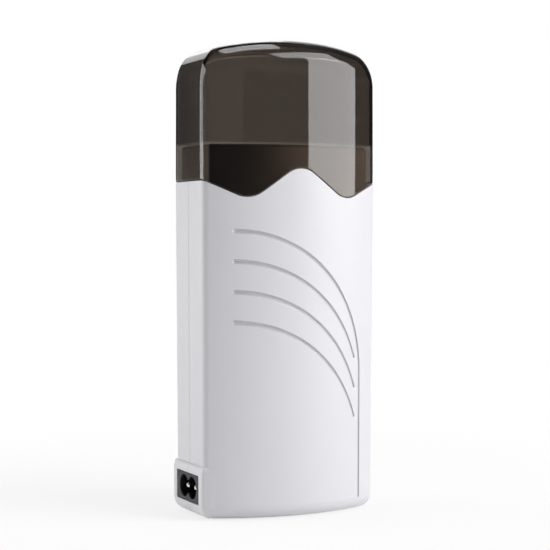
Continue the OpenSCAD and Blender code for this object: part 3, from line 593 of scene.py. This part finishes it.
lug_places = [(side * lug_x, lug_z) for side in (-1, 1)]
board_places = [(side * board_post_x, lamp_z) for side in (-1, 1)]
fit_inside(
    front,
    posts(screw_places, -30, -0.1, post_r)
    + [box("rib", (rib_x, -27, rib_low), (rib_x + rib_t, -rib_y, pad_top))],
    -1,
)
fit_inside(
    rear,
    posts(screw_places, 0.1, post_wide_y + 1, post_r)
    + posts(screw_places, post_wide_y, 30, post_wide_r)
    + posts(lug_places, lug_back + 0.1, 30, lug_r)
    + posts(board_places, board_back + 0.1, 30, board_post_r)
    + [box("rib", (rib_x, rib_y, rib_low), (rib_x + rib_t, 27, pad_top))],
    1,
)
print("posts: front now %d faces, back %d" % (len(front.data.polygons), len(rear.data.polygons)))

# %% [markdown]
# ## Holes in the back
# Each screw sits at the bottom of a deep round recess in the back, and a pilot lamp looks out of a small
# hole low in the middle. The outer edge of each hole has a small round that catches the light.

# %% Screw recesses
front_bore_r, rear_bore_r, recess_r, recess_y = 1.5, 1.7, 3.0, 12
lug_bore_r, board_bore_r, lens_r = 1.15, 0.85, 2.5
lamp_hole_r = lens_r + 0.05
for x, z in screw_places:
    carve(front, rod("bore", (x, -8, z), (x, 1, z), front_bore_r, 32))
    carve(rear, rod("bore", (x, -1, z), (x, recess_y + 1, z), rear_bore_r, 32))
    carve(rear, rod("recess", (x, recess_y, z), (x, far, z), recess_r))
for (lug, z), (board, board_z) in zip(lug_places, board_places):
    carve(rear, rod("bore", (lug, 0, z), (lug, 10, z), lug_bore_r, 32))
    carve(rear, rod("bore", (board, 15, board_z), (board, board_back + 4, board_z), board_bore_r, 32))
carve(rear, rod("lamp_hole", (0, 13, lamp_z), (0, far, lamp_z), lamp_hole_r))


def ease_hole(piece, x, z, radius, offset):
    """Rounds the outer edge of a hole in the back."""

    def on_rim(p):
        near = abs(math.hypot(p.x - x * mm, p.z - z * mm) - radius * mm) < 0.03 * mm
        return near and p.y > (bow_y(x, lean_at(z)) - 1.5) * mm

    return ease(piece, on_rim, offset, 2)


rims = [ease_hole(rear, x, z, recess_r, 0.3) for x, z in screw_places]
rims.append(ease_hole(rear, 0, lamp_z, lamp_hole_r, 0.2))
print("holes: rims of", rims, "edges")

# %% [markdown]
# ## Soft corners where the faces meet
# Moulded plastic has no knife edges. The wavy rim gets a round of a third of a millimetre on its outer edge,
# which shows as a thin line under the cap. The rest stays as it is and is shaded smooth, with only the real
# corners left sharp. Large faces keep their own direction, so a rim's round doesn't cloud the face beside it.


# %% The rim
def near_outside(p):
    x, y, inset = p.x / mm, p.y / mm, lean_at(p.z / mm)
    at_side = abs(abs(x) - width / 2 + inset) < 0.05
    return at_side or abs(abs(y) - half_depth(x, inset)) < 0.08


def ease_rim(piece, gap, offset):
    """Rounds the outer edge of the wavy rim."""

    def on_rim(p):
        return abs(p.z / mm - wave_z(p.x / mm) - gap) < 0.03 and near_outside(p)

    return ease(piece, on_rim, offset, 2)


print("rim:", ease_rim(front, 0, 0.3), "and", ease_rim(rear, 0, 0.3), "edges")
smooth(front)
smooth(rear)
for piece, node in ((front, "front_shell"), (rear, "rear_shell")):
    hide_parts(node)
    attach(piece, "housing")

# %% [markdown]
# ## The cap
# The cap is a clear moulding tinted smoky brown. It goes on from the housing's outline, rises straight, and
# ends in a shallow arch with round shoulders. From its middle line the top falls off a little to the front
# and the back, and rolls over into the faces. The blank is made ring by ring too: from the shoulders up, each
# ring is a step further in and lies on that top. A strip is left along the crown, which a bridge between its
# long sides closes. A smaller blank hollows it, and the lower part of the wall, which goes over the neck, is
# then cut thinner from inside. The end of that cut shows as a fine line right across the cap.

# %% The cap's top
total_h, arch_r, shoulder_r, edge_r, cap_draft = 200.5, 123.0, 11.5, 7.0, 0.1
arch_half = width / 2 - cap_draft - shoulder_r
arch_turn = math.asin(arch_half / (arch_r - shoulder_r))
shoulder_z = total_h - shoulder_r - (arch_r - shoulder_r) * (1 - math.cos(arch_turn))
crown_half, crown_drop, cap_wall, cap_gap = 5.5, 3.5, 2.2, 0.4
step_top, step_deep = 156.4, 0.95


def arch_z(x, t):
    """Height of the arch and its shoulders, for the surface that lies t further in."""
    u = min(abs(x), arch_half + shoulder_r - t)
    if u <= (arch_r - t) * math.sin(arch_turn):
        return total_h - arch_r + math.sqrt((arch_r - t) ** 2 - u * u)
    return shoulder_z + math.sqrt(max((shoulder_r - t) ** 2 - (u - arch_half) ** 2, 0))


def cap_top(t):
    """Height of the rounded top over a point, for the surface that lies t further in."""

    def height(x, y):
        r = edge_r - t
        e = max(half_depth(x, cap_draft + t) - abs(y), 0)
        fall = crown_drop * (max(abs(y) - crown_half, 0) / (depth / 2 - crown_half)) ** 2
        return arch_z(x, t) - fall - (r - math.sqrt(r * r - (r - e) ** 2) if e < r else 0)

    return height


def cap_blank(name, t, steps=36):
    low = trough_z - 4
    reach = depth / 2 - crown_half - cap_draft - t
    rings = [(outline(t + lean_at(low)), low), (outline(t), peak_z)]
    rings += [(outline((k / steps) ** 2 * reach + cap_draft + t), cap_top(t)) for k in range(steps + 1)]
    piece = moulding(name, rings)
    open_mesh(piece)
    inset = reach + cap_draft + t
    crown = (total_h - t - 6) * mm

    def lid(centre, normal):
        in_middle = abs(centre.x) < 0.01 * mm and abs(centre.y) < 0.01 * mm
        return normal.z > 0.9 and centre.z > crown and in_middle

    pick("faces", lid)
    bpy.ops.mesh.delete(type="ONLY_FACE")

    def on_crown(p):
        on_outline = abs(half_depth(p.x / mm, inset) - abs(p.y / mm)) < 0.002
        return on_outline and p.z > crown

    pick("edges", lambda a, b: on_crown(a) and on_crown(b) and a.y * b.y > 0)
    bpy.ops.mesh.bridge_edge_loops()
    close_mesh()
    return piece


cap = cap_blank("smoky_cap", 0)
carve(cap, wave_tool("below", cap_gap, False))
carve(cap, cap_blank("cap_inside", cap_wall))
step_plan = outline(cap_wall - step_deep)
carve(cap, moulding("step", [(step_plan, 120), (step_plan, step_top)]))
print("cap: %d faces, shoulders at %.1f mm" % (len(cap.data.polygons), shoulder_z))
print("cap rim:", ease_rim(cap, cap_gap, 0.25), "edges")
smooth(cap)
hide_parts("cap")
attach(cap, "cap")

# %% [markdown]
# ## The neck and the well
# A dark moulding closes the housing under the cap. Its neck follows the outline too, a few millimetres in,
# and ends in a round lip. The well for the cartridge hangs in the middle of it. Neck, flange and well are
# made apart and joined, and then the well is cut out in one go, so its walls run clean from lip to floor. A
# window in its back takes the heating plate, which four stakes hold, and two lugs carry its screws.

# %% Neck and well
neck_in, neck_wall, neck_top, lip_r, lip_steps = 3.5, 1.8, 155.7, 1.5, 10
neck_rings = [(outline(neck_in), flange_z)]
for a in quarter(lip_steps):
    neck_rings.append((outline(neck_in + lip_r * (1 - math.cos(a))), neck_top - lip_r * (1 - math.sin(a))))
neck = moulding("neck_and_well", neck_rings)
inner = outline(neck_in + neck_wall)
carve(neck, moulding("under", [(inner, flange_z - 1), (inner, neck_top - neck_wall)]))
flange_out = outline(wall + lean_at(flange_z) + 0.25)
flange_in = outline(neck_in + neck_wall - 0.2)
flange = moulding("flange", [(flange_out, flange_z), (flange_out, flange_z + flange_t)])
carve(flange, moulding("gap", [(flange_in, flange_z - 1), (flange_in, flange_z + flange_t + 1)]))
carve(neck, flange, "UNION")
floor_t, arm_half, lug_front = 1.8, 2.2, -0.4
carve(neck, well_block("tube", well_wall, well_floor - floor_t, neck_top - 0.9), "UNION")
for side in (-1, 1):
    x = side * lug_x
    carve(neck, rod("lug", (x, lug_front, lug_z), (x, lug_back, lug_z), lug_r), "UNION")
    ends = sorted((x, side * (well_w / 2 + 0.8)))
    arm = box("arm", (ends[0], lug_front, lug_z - arm_half), (ends[1], lug_back, lug_z + arm_half))
    carve(neck, arm, "UNION")
carve(neck, well_block("room", 0, well_floor, neck_top + 2))
heater_z, plate_w, plate_h, plate_gap = 92.0, 34.0, 62.0, 0.15
half_w, half_h = plate_w / 2 + plate_gap, plate_h / 2 + plate_gap
carve(neck, box("window", (-half_w, 0, heater_z - half_h), (half_w, 18, heater_z + half_h)))
stake_off, stake_r, stake_head_r, neck_bore_r, rivet_hole_r, rivet_z = 2.25, 0.8, 1.4, 1.35, 1.25, 122
for side in (-1, 1):
    bore = rod("bore", (side * lug_x, -2, lug_z), (side * lug_x, 4, lug_z), neck_bore_r, 32)
    carve(neck, bore)
    for level in (-1, 1):
        x, z = side * plate_w / 2, heater_z + level * (plate_h / 2 + stake_off)
        carve(neck, rod("stake", (x, 15.3, z), (x, 18.1, z), stake_r, 24), "UNION")
        carve(neck, rod("stake_head", (x, 17.65, z), (x, 18.4, z), stake_head_r, 24), "UNION")
carve(neck, rod("bore", (0, -30, rivet_z), (0, -17, rivet_z), rivet_hole_r, 32))


def on_mouth(p):
    inside = half_depth(p.x / mm, neck_in + lip_r) - abs(p.y / mm) > 0.6
    return abs(p.z - neck_top * mm) < 0.01 * mm and inside and abs(p.x) < 30 * mm


mouth = ease(neck, on_mouth, 0.8, 4)
smooth(neck)
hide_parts("well")
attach(neck, "housing")
print("neck: %d faces, %d edges round the mouth" % (len(neck.data.polygons), mouth))

# %% [markdown]
# ## The inlet
# The mains inlet is a black block that sits in the pad with a thin shadow line round it. Its recess is two
# round holes joined by a flat waist, and two bare pins stand in it. The recess is cut with two rods and a
# block, and both the rim of the recess and the outer edges get a small round.

# %% The inlet
face_x = -side_x - pad_out + 0.15
inlet_len, socket_deep = 16, 11
pin_pitch, lobe_r, waist_h, socket_x = 8.6, 4.6, 5.4, face_x + socket_deep
low_z, high_z = inlet_z - inlet_h / 2, inlet_z + inlet_h / 2
inlet = box("inlet_block", (face_x, -inlet_w / 2, low_z), (face_x + inlet_len, inlet_w / 2, high_z))
open_mesh(inlet)
pick("edges", lambda a, b: abs(a.x - b.x) > 1 * mm)
bpy.ops.mesh.bevel(offset=0.9 * mm, segments=5)
pick("edges", lambda a, b: max(a.x, b.x) < (face_x + 0.01) * mm)
bpy.ops.mesh.bevel(offset=0.45 * mm, segments=3)
close_mesh()
flange = box("flange", (-side_x + 2.5, -13.05, 6), (-side_x + 4.1, 13.05, high_z + 1.2))
flange_plan = outline(wall + lean_at(6) + 0.1)
carve(flange, moulding("limit", [(flange_plan, 3), (flange_plan, 40)]), "INTERSECT")
carve(inlet, flange, "UNION")
pin_places = [side * pin_pitch / 2 for side in (-1, 1)]
for y in pin_places:
    carve(inlet, rod("lobe", (face_x - 1, y, inlet_z), (socket_x, y, inlet_z), lobe_r, 72))
waist = box(
    "waist",
    (face_x - 1, -pin_pitch / 2, inlet_z - waist_h / 2),
    (socket_x, pin_pitch / 2, inlet_z + waist_h / 2),
)
carve(inlet, waist)
pin_bore_r = 0.95
for y in pin_places:
    carve(inlet, rod("bore", (face_x, y, inlet_z), (face_x + 18, y, inlet_z), pin_bore_r, 32))


def on_recess(p):
    reach = max(abs(p.y / mm) - pin_pitch / 2, 0)
    return p.x < (face_x + 0.01) * mm and math.hypot(reach, p.z / mm - inlet_z) < lobe_r + 0.1


ease(inlet, on_recess, 0.4, 3)
smooth(inlet)
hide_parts("inlet_housing")
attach(inlet, "housing")
print("inlet: %d faces" % len(inlet.data.polygons))

# %% [markdown]
# ## The lamp's lens
# A small red lens with a shallow dome looks out of the back. It is turned: a disc is extruded upwards while
# each new ring gets its own radius, and then the whole piece is laid down to point backwards.

# %% The lens
seat = [corner.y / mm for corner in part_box("pilot_lens")]
dome, rim_r, rim_t, dome_steps, lens_sides = 0.55, 3.4, 0.75, 11, 64
dome_r = (lens_r**2 + dome**2) / (2 * dome)
profile = [(rim_r, seat[0]), (rim_r, seat[0] + rim_t), (lens_r, seat[0] + rim_t), (lens_r, seat[1] - dome)]
for k in range(1, dome_steps + 1):
    radius = lens_r * math.cos(math.radians(90 * k / (dome_steps + 0.2)))
    profile.append((radius, seat[1] - dome_r + math.sqrt(dome_r**2 - radius**2)))
turns = [2 * math.pi * k / lens_sides for k in range(lens_sides)]
rings = [([(r * math.cos(a), r * math.sin(a)) for a in turns], height) for r, height in profile]
lamp_lens = moulding("lamp_lens", rings)
lamp_lens.rotation_euler = (math.radians(-90), 0, 0)
lamp_lens.location = (0, 0, lamp_z * mm)
settle(lamp_lens)
smooth(lamp_lens)
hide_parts("pilot_lens")
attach(lamp_lens, "housing")
print("lens: %d faces, from y = %.1f to %.1f mm" % (len(lamp_lens.data.polygons), *seat))

# %% [markdown]
# ## Finishes
# No surface is one flat colour. Each finish starts from the same three layers, all read from the object's
# own coordinates: a slow noise that shifts the colour a little, a second that shifts the gloss as handling
# and moulding do, and a fine one that gives the grain its relief. Each material then sets its own amounts.


# %% Layers of a finish
grain_relief = 0.00001
noise_low, noise_high = 0.3, 0.7


def add(tree, kind, **settings):
    node = tree.nodes.new(kind)
    for key, value in settings.items():
        setattr(node, key, value)
    return node


def noise(tree, place, scale, detail=3.0, stretch=(1, 1, 1)):
    """Noise with features of about 1 / scale metres, drawn out along an axis by stretch."""
    mapping = add(tree, "ShaderNodeMapping")
    mapping.inputs["Scale"].default_value = stretch
    tree.links.new(place, mapping.inputs["Vector"])
    texture = add(tree, "ShaderNodeTexNoise")
    texture.inputs["Scale"].default_value = scale
    texture.inputs["Detail"].default_value = detail
    tree.links.new(mapping.outputs["Vector"], texture.inputs["Vector"])
    return texture.outputs["Fac"]


def spread(tree, value, span, low, high, **settings):
    """Turns values over a span into values from low to high."""
    ranged = add(tree, "ShaderNodeMapRange", **settings)
    ranged.inputs["From Min"].default_value, ranged.inputs["From Max"].default_value = span
    ranged.inputs["To Min"].default_value, ranged.inputs["To Max"].default_value = low, high
    tree.links.new(value, ranged.inputs["Value"])
    return ranged.outputs["Result"]


def tones(tree, fac, stops):
    """Colours along a value, from (position, colour) pairs in rising order."""
    ramp = add(tree, "ShaderNodeValToRGB")
    elements = ramp.color_ramp.elements
    for position, _ in stops[2:]:
        elements.new(position)
    for element, (position, colour) in zip(elements, stops):
        element.position, element.color = position, (*colour, 1)
    tree.links.new(fac, ramp.inputs["Fac"])
    return ramp.outputs["Color"]


def finish(
    name, colour, gloss, change=0.03, metal=0.0, cloud=40, grain=1500, strength=0.3, stretch=(1, 1, 1)
):
    """A material from its colour and its lowest and highest roughness."""
    material = bpy.data.materials.new(name)
    material.use_nodes = True
    tree = material.node_tree
    tree.nodes.clear()
    out = add(tree, "ShaderNodeOutputMaterial")
    shader = add(tree, "ShaderNodeBsdfPrincipled")
    tree.links.new(shader.outputs["BSDF"], out.inputs["Surface"])
    place = add(tree, "ShaderNodeTexCoord").outputs["Object"]
    dark = [c * (1 - change) for c in colour]
    light = [min(c * (1 + change), 1) for c in colour]
    clouds = tones(tree, noise(tree, place, cloud), [(noise_low, dark), (noise_high, light)])
    tree.links.new(clouds, shader.inputs["Base Color"])
    wear = spread(tree, noise(tree, place, cloud * 5, 5, stretch), (noise_low, noise_high), *gloss)
    tree.links.new(wear, shader.inputs["Roughness"])
    bump = add(tree, "ShaderNodeBump")
    bump.inputs["Distance"].default_value = grain_relief
    bump.inputs["Strength"].default_value = strength
    tree.links.new(noise(tree, place, grain, 2, stretch), bump.inputs["Height"])
    tree.links.new(bump.outputs["Normal"], shader.inputs["Normal"])
    shader.inputs["Metallic"].default_value = metal
    return material, shader


def dress(piece, material):
    piece.data.materials.clear()
    piece.data.materials.append(material)


# %% [markdown]
# ## White, dark and smoky
# The housing is white ABS with a satin face: a fine spark-eroded grain and an even, soft gloss. The grooves'
# floors are a little duller, so their faces get a finish of their own, whose darker white is painted shade.
# The neck is a smoother, dark moulding.
# Its brown carries painted light and shade, as a ramp along X: almost black at the front left, where
# painted shade lies, and lighter to the right and at both ends, where painted light stands for the lamps.
# The inlet is black and finely matt. The cap is the only see-through piece. Its tint is a dye in the plastic,
# so it is an absorbing volume: the longer a ray runs inside the wall, the darker it gets, which draws the dark
# lines along the cap's edges. Glass in Blender stops the lamps' direct light, so where a ray only asks whether
# a lamp is blocked, the surface answers as plain transparency.

# %% The mouldings' materials
shell_white, _ = finish(
    "white_satin_abs", (0.69, 0.685, 0.714), (0.34, 0.42), 0.006, grain=2600, strength=0.25
)
# Painted shade: the grooves' faces get a darker white than the rest of the housing.
groove_painted_shade, _ = finish(
    "groove_floor_painted_shade", (0.61, 0.605, 0.64), (0.45, 0.55), 0.02, grain=2600, strength=0.25
)

neck_brown_painted_light, neck_shader = finish("dark_neck_painted_light", (0.95, 0.93, 0.91), (0.3, 0.4), 0.05, grain=1800)
neck_half = 37.5
# Painted light and shade on the neck's brown: lighter at both ends and to the right, darkest at the front
# left.
brown_painted_light_stops = [
    (0.0105, (0.33, 0.265, 0.225)),
    (0.019, (0.03, 0.023, 0.017)),
    (0.17, (0.055, 0.042, 0.031)),
    (0.33, (0.17, 0.132, 0.102)),
    (0.52, (0.35, 0.28, 0.23)),
    (0.8, (0.35, 0.28, 0.23)),
    (1.0, (0.48, 0.4, 0.34)),
]
tree = neck_brown_painted_light.node_tree
axes = add(tree, "ShaderNodeSeparateXYZ")
tree.links.new(add(tree, "ShaderNodeTexCoord").outputs["Object"], axes.inputs[0])
across = spread(tree, axes.outputs["X"], (-neck_half * mm, neck_half * mm), 0.0, 1.0)
product = add(tree, "ShaderNodeMix", data_type="RGBA", blend_type="MULTIPLY")
product.inputs["Factor"].default_value = 1
tree.links.new(neck_shader.inputs["Base Color"].links[0].from_socket, product.inputs["A"])
tree.links.new(tones(tree, across, brown_painted_light_stops), product.inputs["B"])
tree.links.new(product.outputs["Result"], neck_shader.inputs["Base Color"])

inlet_black, inlet_shader = finish(
    "black_inlet_plastic", (0.01, 0.01, 0.011), (0.38, 0.5), 0.08, grain=2200
)
inlet_shader.inputs["Specular IOR Level"].default_value = 0.3
lens_red, lens_shader = finish("red_lens_plastic", (0.62, 0.03, 0.025), (0.06, 0.14), 0.05, grain=900)
lens_shader.inputs["Transmission Weight"].default_value = 0.7

cap_smoke, smoke_shader = finish(
    "smoky_clear_plastic", (0.99, 0.985, 0.98), (0.01, 0.03), 0.005, cloud=25, grain=120, strength=0.03
)
smoke_shader.inputs["Transmission Weight"].default_value = 1.0
smoke_shader.inputs["IOR"].default_value = 1.585
tree = cap_smoke.node_tree
veil = add(tree, "ShaderNodeBsdfTransparent")
veil.inputs["Color"].default_value = (0.92, 0.92, 0.92, 1)
dye = add(tree, "ShaderNodeVolumeAbsorption")
dye.inputs["Color"].default_value = (0.368, 0.32, 0.278, 1)
dye.inputs["Density"].default_value = 1000
choice = add(tree, "ShaderNodeMixShader")
out = next(n for n in tree.nodes if n.type == "OUTPUT_MATERIAL")
tree.links.new(add(tree, "ShaderNodeLightPath").outputs["Is Shadow Ray"], choice.inputs[0])
tree.links.new(smoke_shader.outputs["BSDF"], choice.inputs[1])
tree.links.new(veil.outputs["BSDF"], choice.inputs[2])
tree.links.new(choice.outputs["Shader"], out.inputs["Surface"])
tree.links.new(dye.outputs["Volume"], out.inputs["Volume"])

for piece, material in (
    (front, shell_white),
    (rear, shell_white),
    (neck, neck_brown_painted_light),
    (inlet, inlet_black),
    (cap, cap_smoke),
    (lamp_lens, lens_red),
):
    dress(piece, material)

grooves_low, grooves_high, grooves_side = (groove_foot - 0.3) * mm, 122 * mm, 32 * mm
least_depth, most_depth = 0.03, 1.6


def in_groove(centre, normal):
    """True where a face lies below the plain face, in the grooved part; these get the painted shade."""
    z = centre.z / mm
    round_in = base_r - math.sqrt(base_r**2 - max(base_r - z, 0) ** 2)
    below = bow_y(centre.x / mm, lean_at(z)) - round_in + centre.y / mm
    in_part = abs(centre.x) < grooves_side and grooves_low < centre.z < grooves_high
    return least_depth < below < most_depth and in_part


# The grooves' faces take the darker white, which is painted shade in the grooves.
front.data.materials.append(groove_painted_shade)
open_mesh(front)
marked = pick("faces", in_groove)
front.active_material_index = 1
bpy.ops.object.material_slot_assign()
close_mesh(outwards=False)
print("mouldings: 6 materials, %d faces in the grooves" % marked)

# %% [markdown]
# ## Metals and small parts
# The rest keep their own meshes and only get their finish. Zinc-plated screws, rolled spring steel and the
# milled plate differ in how far their fine lines are drawn out, and in gloss. The leads have soft, slightly
# mottled sleeves, and the pilot board has the green of solder lacquer over a faint weave of glass cloth.

# %% The small parts' materials
along_x, along_z = (0.04, 1, 1), (1, 1, 0.05)
small_looks = {
    # slot: name, colour, roughness from and to, change, metal, cloud, grain, strength, stretch
    "screws": ("zinc_plate", (0.62, 0.62, 0.63), (0.22, 0.36), 0.06, 1.0, 400, 2500, 0.2),
    "spring_steel": ("rolled_steel", (0.6, 0.6, 0.61), (0.2, 0.34), 0.04, 1.0, 60, 1500, 0.3, along_z),
    "plate": ("milled_aluminium", (0.78, 0.79, 0.8), (0.25, 0.4), 0.04, 1.0, 50, 1800, 0.3, along_x),
    "pellets": ("fired_ceramic", (0.09, 0.09, 0.1), (0.6, 0.8), 0.15, 0.0, 300, 1400, 0.5),
    "contacts": ("brass_strip", (0.72, 0.56, 0.27), (0.22, 0.4), 0.07, 1.0, 80, 1800, 0.3, (1, 1, 0.06)),
    "film": ("amber_film", (0.66, 0.3, 0.05), (0.18, 0.3), 0.06, 0.0, 60, 500, 0.2),
    "fuse": ("glazed_fuse", (0.72, 0.67, 0.56), (0.25, 0.4), 0.06, 0.0, 200, 900),
    "pins": ("nickel_pins", (0.78, 0.77, 0.73), (0.12, 0.24), 0.03, 1.0, 90, 2200, 0.15, (0.08, 1, 1)),
    "sleeves": ("glass_sleeving", (0.74, 0.73, 0.69), (0.55, 0.75), 0.07, 0.0, 500, 1600, 0.7),
    "lead_brown": ("brown_insulation", (0.16, 0.065, 0.03), (0.4, 0.52), 0.1, 0.0, 300, 1200),
    "lead_blue": ("blue_insulation", (0.05, 0.16, 0.45), (0.4, 0.52), 0.1, 0.0, 300, 1200),
    "lead_red": ("red_insulation", (0.5, 0.03, 0.03), (0.4, 0.52), 0.1, 0.0, 300, 1200),
    "board": ("green_laminate", (0.03, 0.2, 0.07), (0.3, 0.45), 0.18, 0.0, 900, 2200, 0.4),
    "led": ("red_led", (0.6, 0.02, 0.02), (0.08, 0.16), 0.04, 0.0, 300, 900),
    "resistor": ("resistor_lacquer", (0.6, 0.46, 0.26), (0.3, 0.45), 0.08, 0.0, 500, 1600),
}
small_finishes = {slot: finish(*look)[0] for slot, look in small_looks.items()}
slots = {row["node"]: row["material_slot"] for row in frame["record"]["subparts"]}
kept = 0
for node, piece in frame["nodes"].items():
    if slots[node] in small_finishes:
        dress(piece, small_finishes[slots[node]])
        kept += 1
print("small parts: %d nodes in %d materials" % (kept, len(small_finishes)))

# %% [markdown]
# ## The studio
# The heater stands on a white floor before a white backdrop. Seen by the camera, or in gloss, or through the
# cap, both are plain white light. Close to the heater the floor is partly white paint as well, so it takes
# the soft shadow there, and the paint's share fades out with the distance.


# %% Floor and backdrop
stage_paint, shade_near, shade_far = (0.9, 0.9, 0.9, 1), 0.05, 0.35


def white_stage(name, share):
    """White for the camera, gloss and the cap; share is the part of it that is paint at the heater."""
    material = bpy.data.materials.new(name)
    material.use_nodes = True
    tree = material.node_tree
    tree.nodes.clear()
    out = add(tree, "ShaderNodeOutputMaterial")
    paint = add(tree, "ShaderNodeBsdfDiffuse")
    paint.inputs["Color"].default_value = stage_paint
    glow = add(tree, "ShaderNodeEmission")
    away = add(tree, "ShaderNodeVectorMath", operation="LENGTH")
    tree.links.new(add(tree, "ShaderNodeTexCoord").outputs["Object"], away.inputs[0])
    faded = spread(
        tree, away.outputs["Value"], (shade_near, shade_far), share, 0.0, interpolation_type="SMOOTHSTEP"
    )
    mixed = add(tree, "ShaderNodeMixShader")
    tree.links.new(faded, mixed.inputs[0])
    tree.links.new(glow.outputs["Emission"], mixed.inputs[1])
    tree.links.new(paint.outputs["BSDF"], mixed.inputs[2])
    path = add(tree, "ShaderNodeLightPath")
    direct = add(tree, "ShaderNodeMath", operation="MAXIMUM")
    seen = add(tree, "ShaderNodeMath", operation="MAXIMUM")
    tree.links.new(path.outputs["Is Camera Ray"], direct.inputs[0])
    tree.links.new(path.outputs["Is Glossy Ray"], direct.inputs[1])
    tree.links.new(direct.outputs["Value"], seen.inputs[0])
    tree.links.new(path.outputs["Is Transmission Ray"], seen.inputs[1])
    switch = add(tree, "ShaderNodeMixShader")
    tree.links.new(seen.outputs["Value"], switch.inputs[0])
    tree.links.new(paint.outputs["BSDF"], switch.inputs[1])
    tree.links.new(mixed.outputs["Shader"], switch.inputs[2])
    tree.links.new(switch.outputs["Shader"], out.inputs["Surface"])
    return material


floor_size, floor_drop, floor_share = 8, 0.0002, 0.25
bpy.ops.object.select_all(action="DESELECT")
bpy.ops.mesh.primitive_plane_add(size=floor_size, location=(0, 0, -floor_drop))
floor = bpy.context.object
floor.name = "floor"
settle(floor)
dress(floor, white_stage("floor_white", floor_share))
backdrop_w, backdrop_h, backdrop_away, backdrop_mid = 1.9, 3.2, 2.4, 1.5
bpy.ops.mesh.primitive_plane_add(size=1)
backdrop = bpy.context.object
backdrop.name = "backdrop"
backdrop.scale = (backdrop_w, backdrop_h, 1)
backdrop.rotation_euler = (math.radians(90), 0, azimuth)
backdrop.location = -back * backdrop_away
backdrop.location.z = backdrop_mid
settle(backdrop)
dress(backdrop, white_stage("backdrop_white", 0.0))
print("stage: floor of %d m, backdrop of %.1f by %.1f m" % (floor_size, backdrop_w, backdrop_h))

# %% [markdown]
# ## The room
# Round the stage the room is dim, so the lamps alone shape the heater. A camera that looks past the floor's
# or the backdrop's edge would see that dimness, so for the camera alone the room is plain white too.

# %% The room's light
room_strength = 0.07
world = bpy.data.worlds.new("studio")
bpy.context.scene.world = world
world.use_nodes = True
tree = world.node_tree
dim, white = tree.nodes["Background"], add(tree, "ShaderNodeBackground")
dim.inputs["Color"].default_value = white.inputs["Color"].default_value = (1, 1, 1, 1)
dim.inputs["Strength"].default_value = room_strength
choice = add(tree, "ShaderNodeMixShader")
tree.links.new(add(tree, "ShaderNodeLightPath").outputs["Is Camera Ray"], choice.inputs[0])
tree.links.new(dim.outputs["Background"], choice.inputs[1])
tree.links.new(white.outputs["Background"], choice.inputs[2])
tree.links.new(choice.outputs["Shader"], tree.nodes["World Output"].inputs["Surface"])
print("room: strength", room_strength, "and white for the camera")

# %% [markdown]
# ## The lamps
# Smooth see-through plastic shows the lamps themselves, so their edges draw its reflections. A tall softbox to
# the right stands in the cap as one broad upright band and lights the front. A second above it carries that
# band on over the cap's round top. A large one on the far left lights the narrow left side, one overhead gives
# the soft shadow under the foot, and a weak one high behind lights the back.


# %% Softboxes
aim_height = 0.1


def softbox(name, turn, height, away, size, power):
    """A softbox turn degrees to the right of the front and height degrees up, that faces the heater."""
    lamp = bpy.data.lights.new(name, "AREA")
    lamp.shape = "RECTANGLE"
    lamp.size, lamp.size_y = size
    lamp.energy = power
    holder = bpy.data.objects.new(name, lamp)
    out = towards(math.radians(turn), math.radians(height))
    holder.location = Vector((0, 0, aim_height)) + out * away
    holder.rotation_mode = "QUATERNION"
    holder.rotation_quaternion = (-out).to_track_quat("-Z", "Y")
    holder.visible_camera = False
    bpy.context.scene.collection.objects.link(holder)


softbox("band_right", 49, 5, 1.3, (0.86, 1.3), 15.8)
softbox("band_top", 38, 40, 1.4, (1.1, 0.62), 8.5)
softbox("side_left", -125.6, 5, 1.3, (1.4, 1.3), 17)
softbox("overhead", 0, 88, 1.5, (0.8, 0.8), 8)
softbox("high_behind", 170, 35, 1.6, (0.9, 0.9), 3)
bpy.context.scene.view_settings.view_transform = "Standard"
print("studio: 5 softboxes")
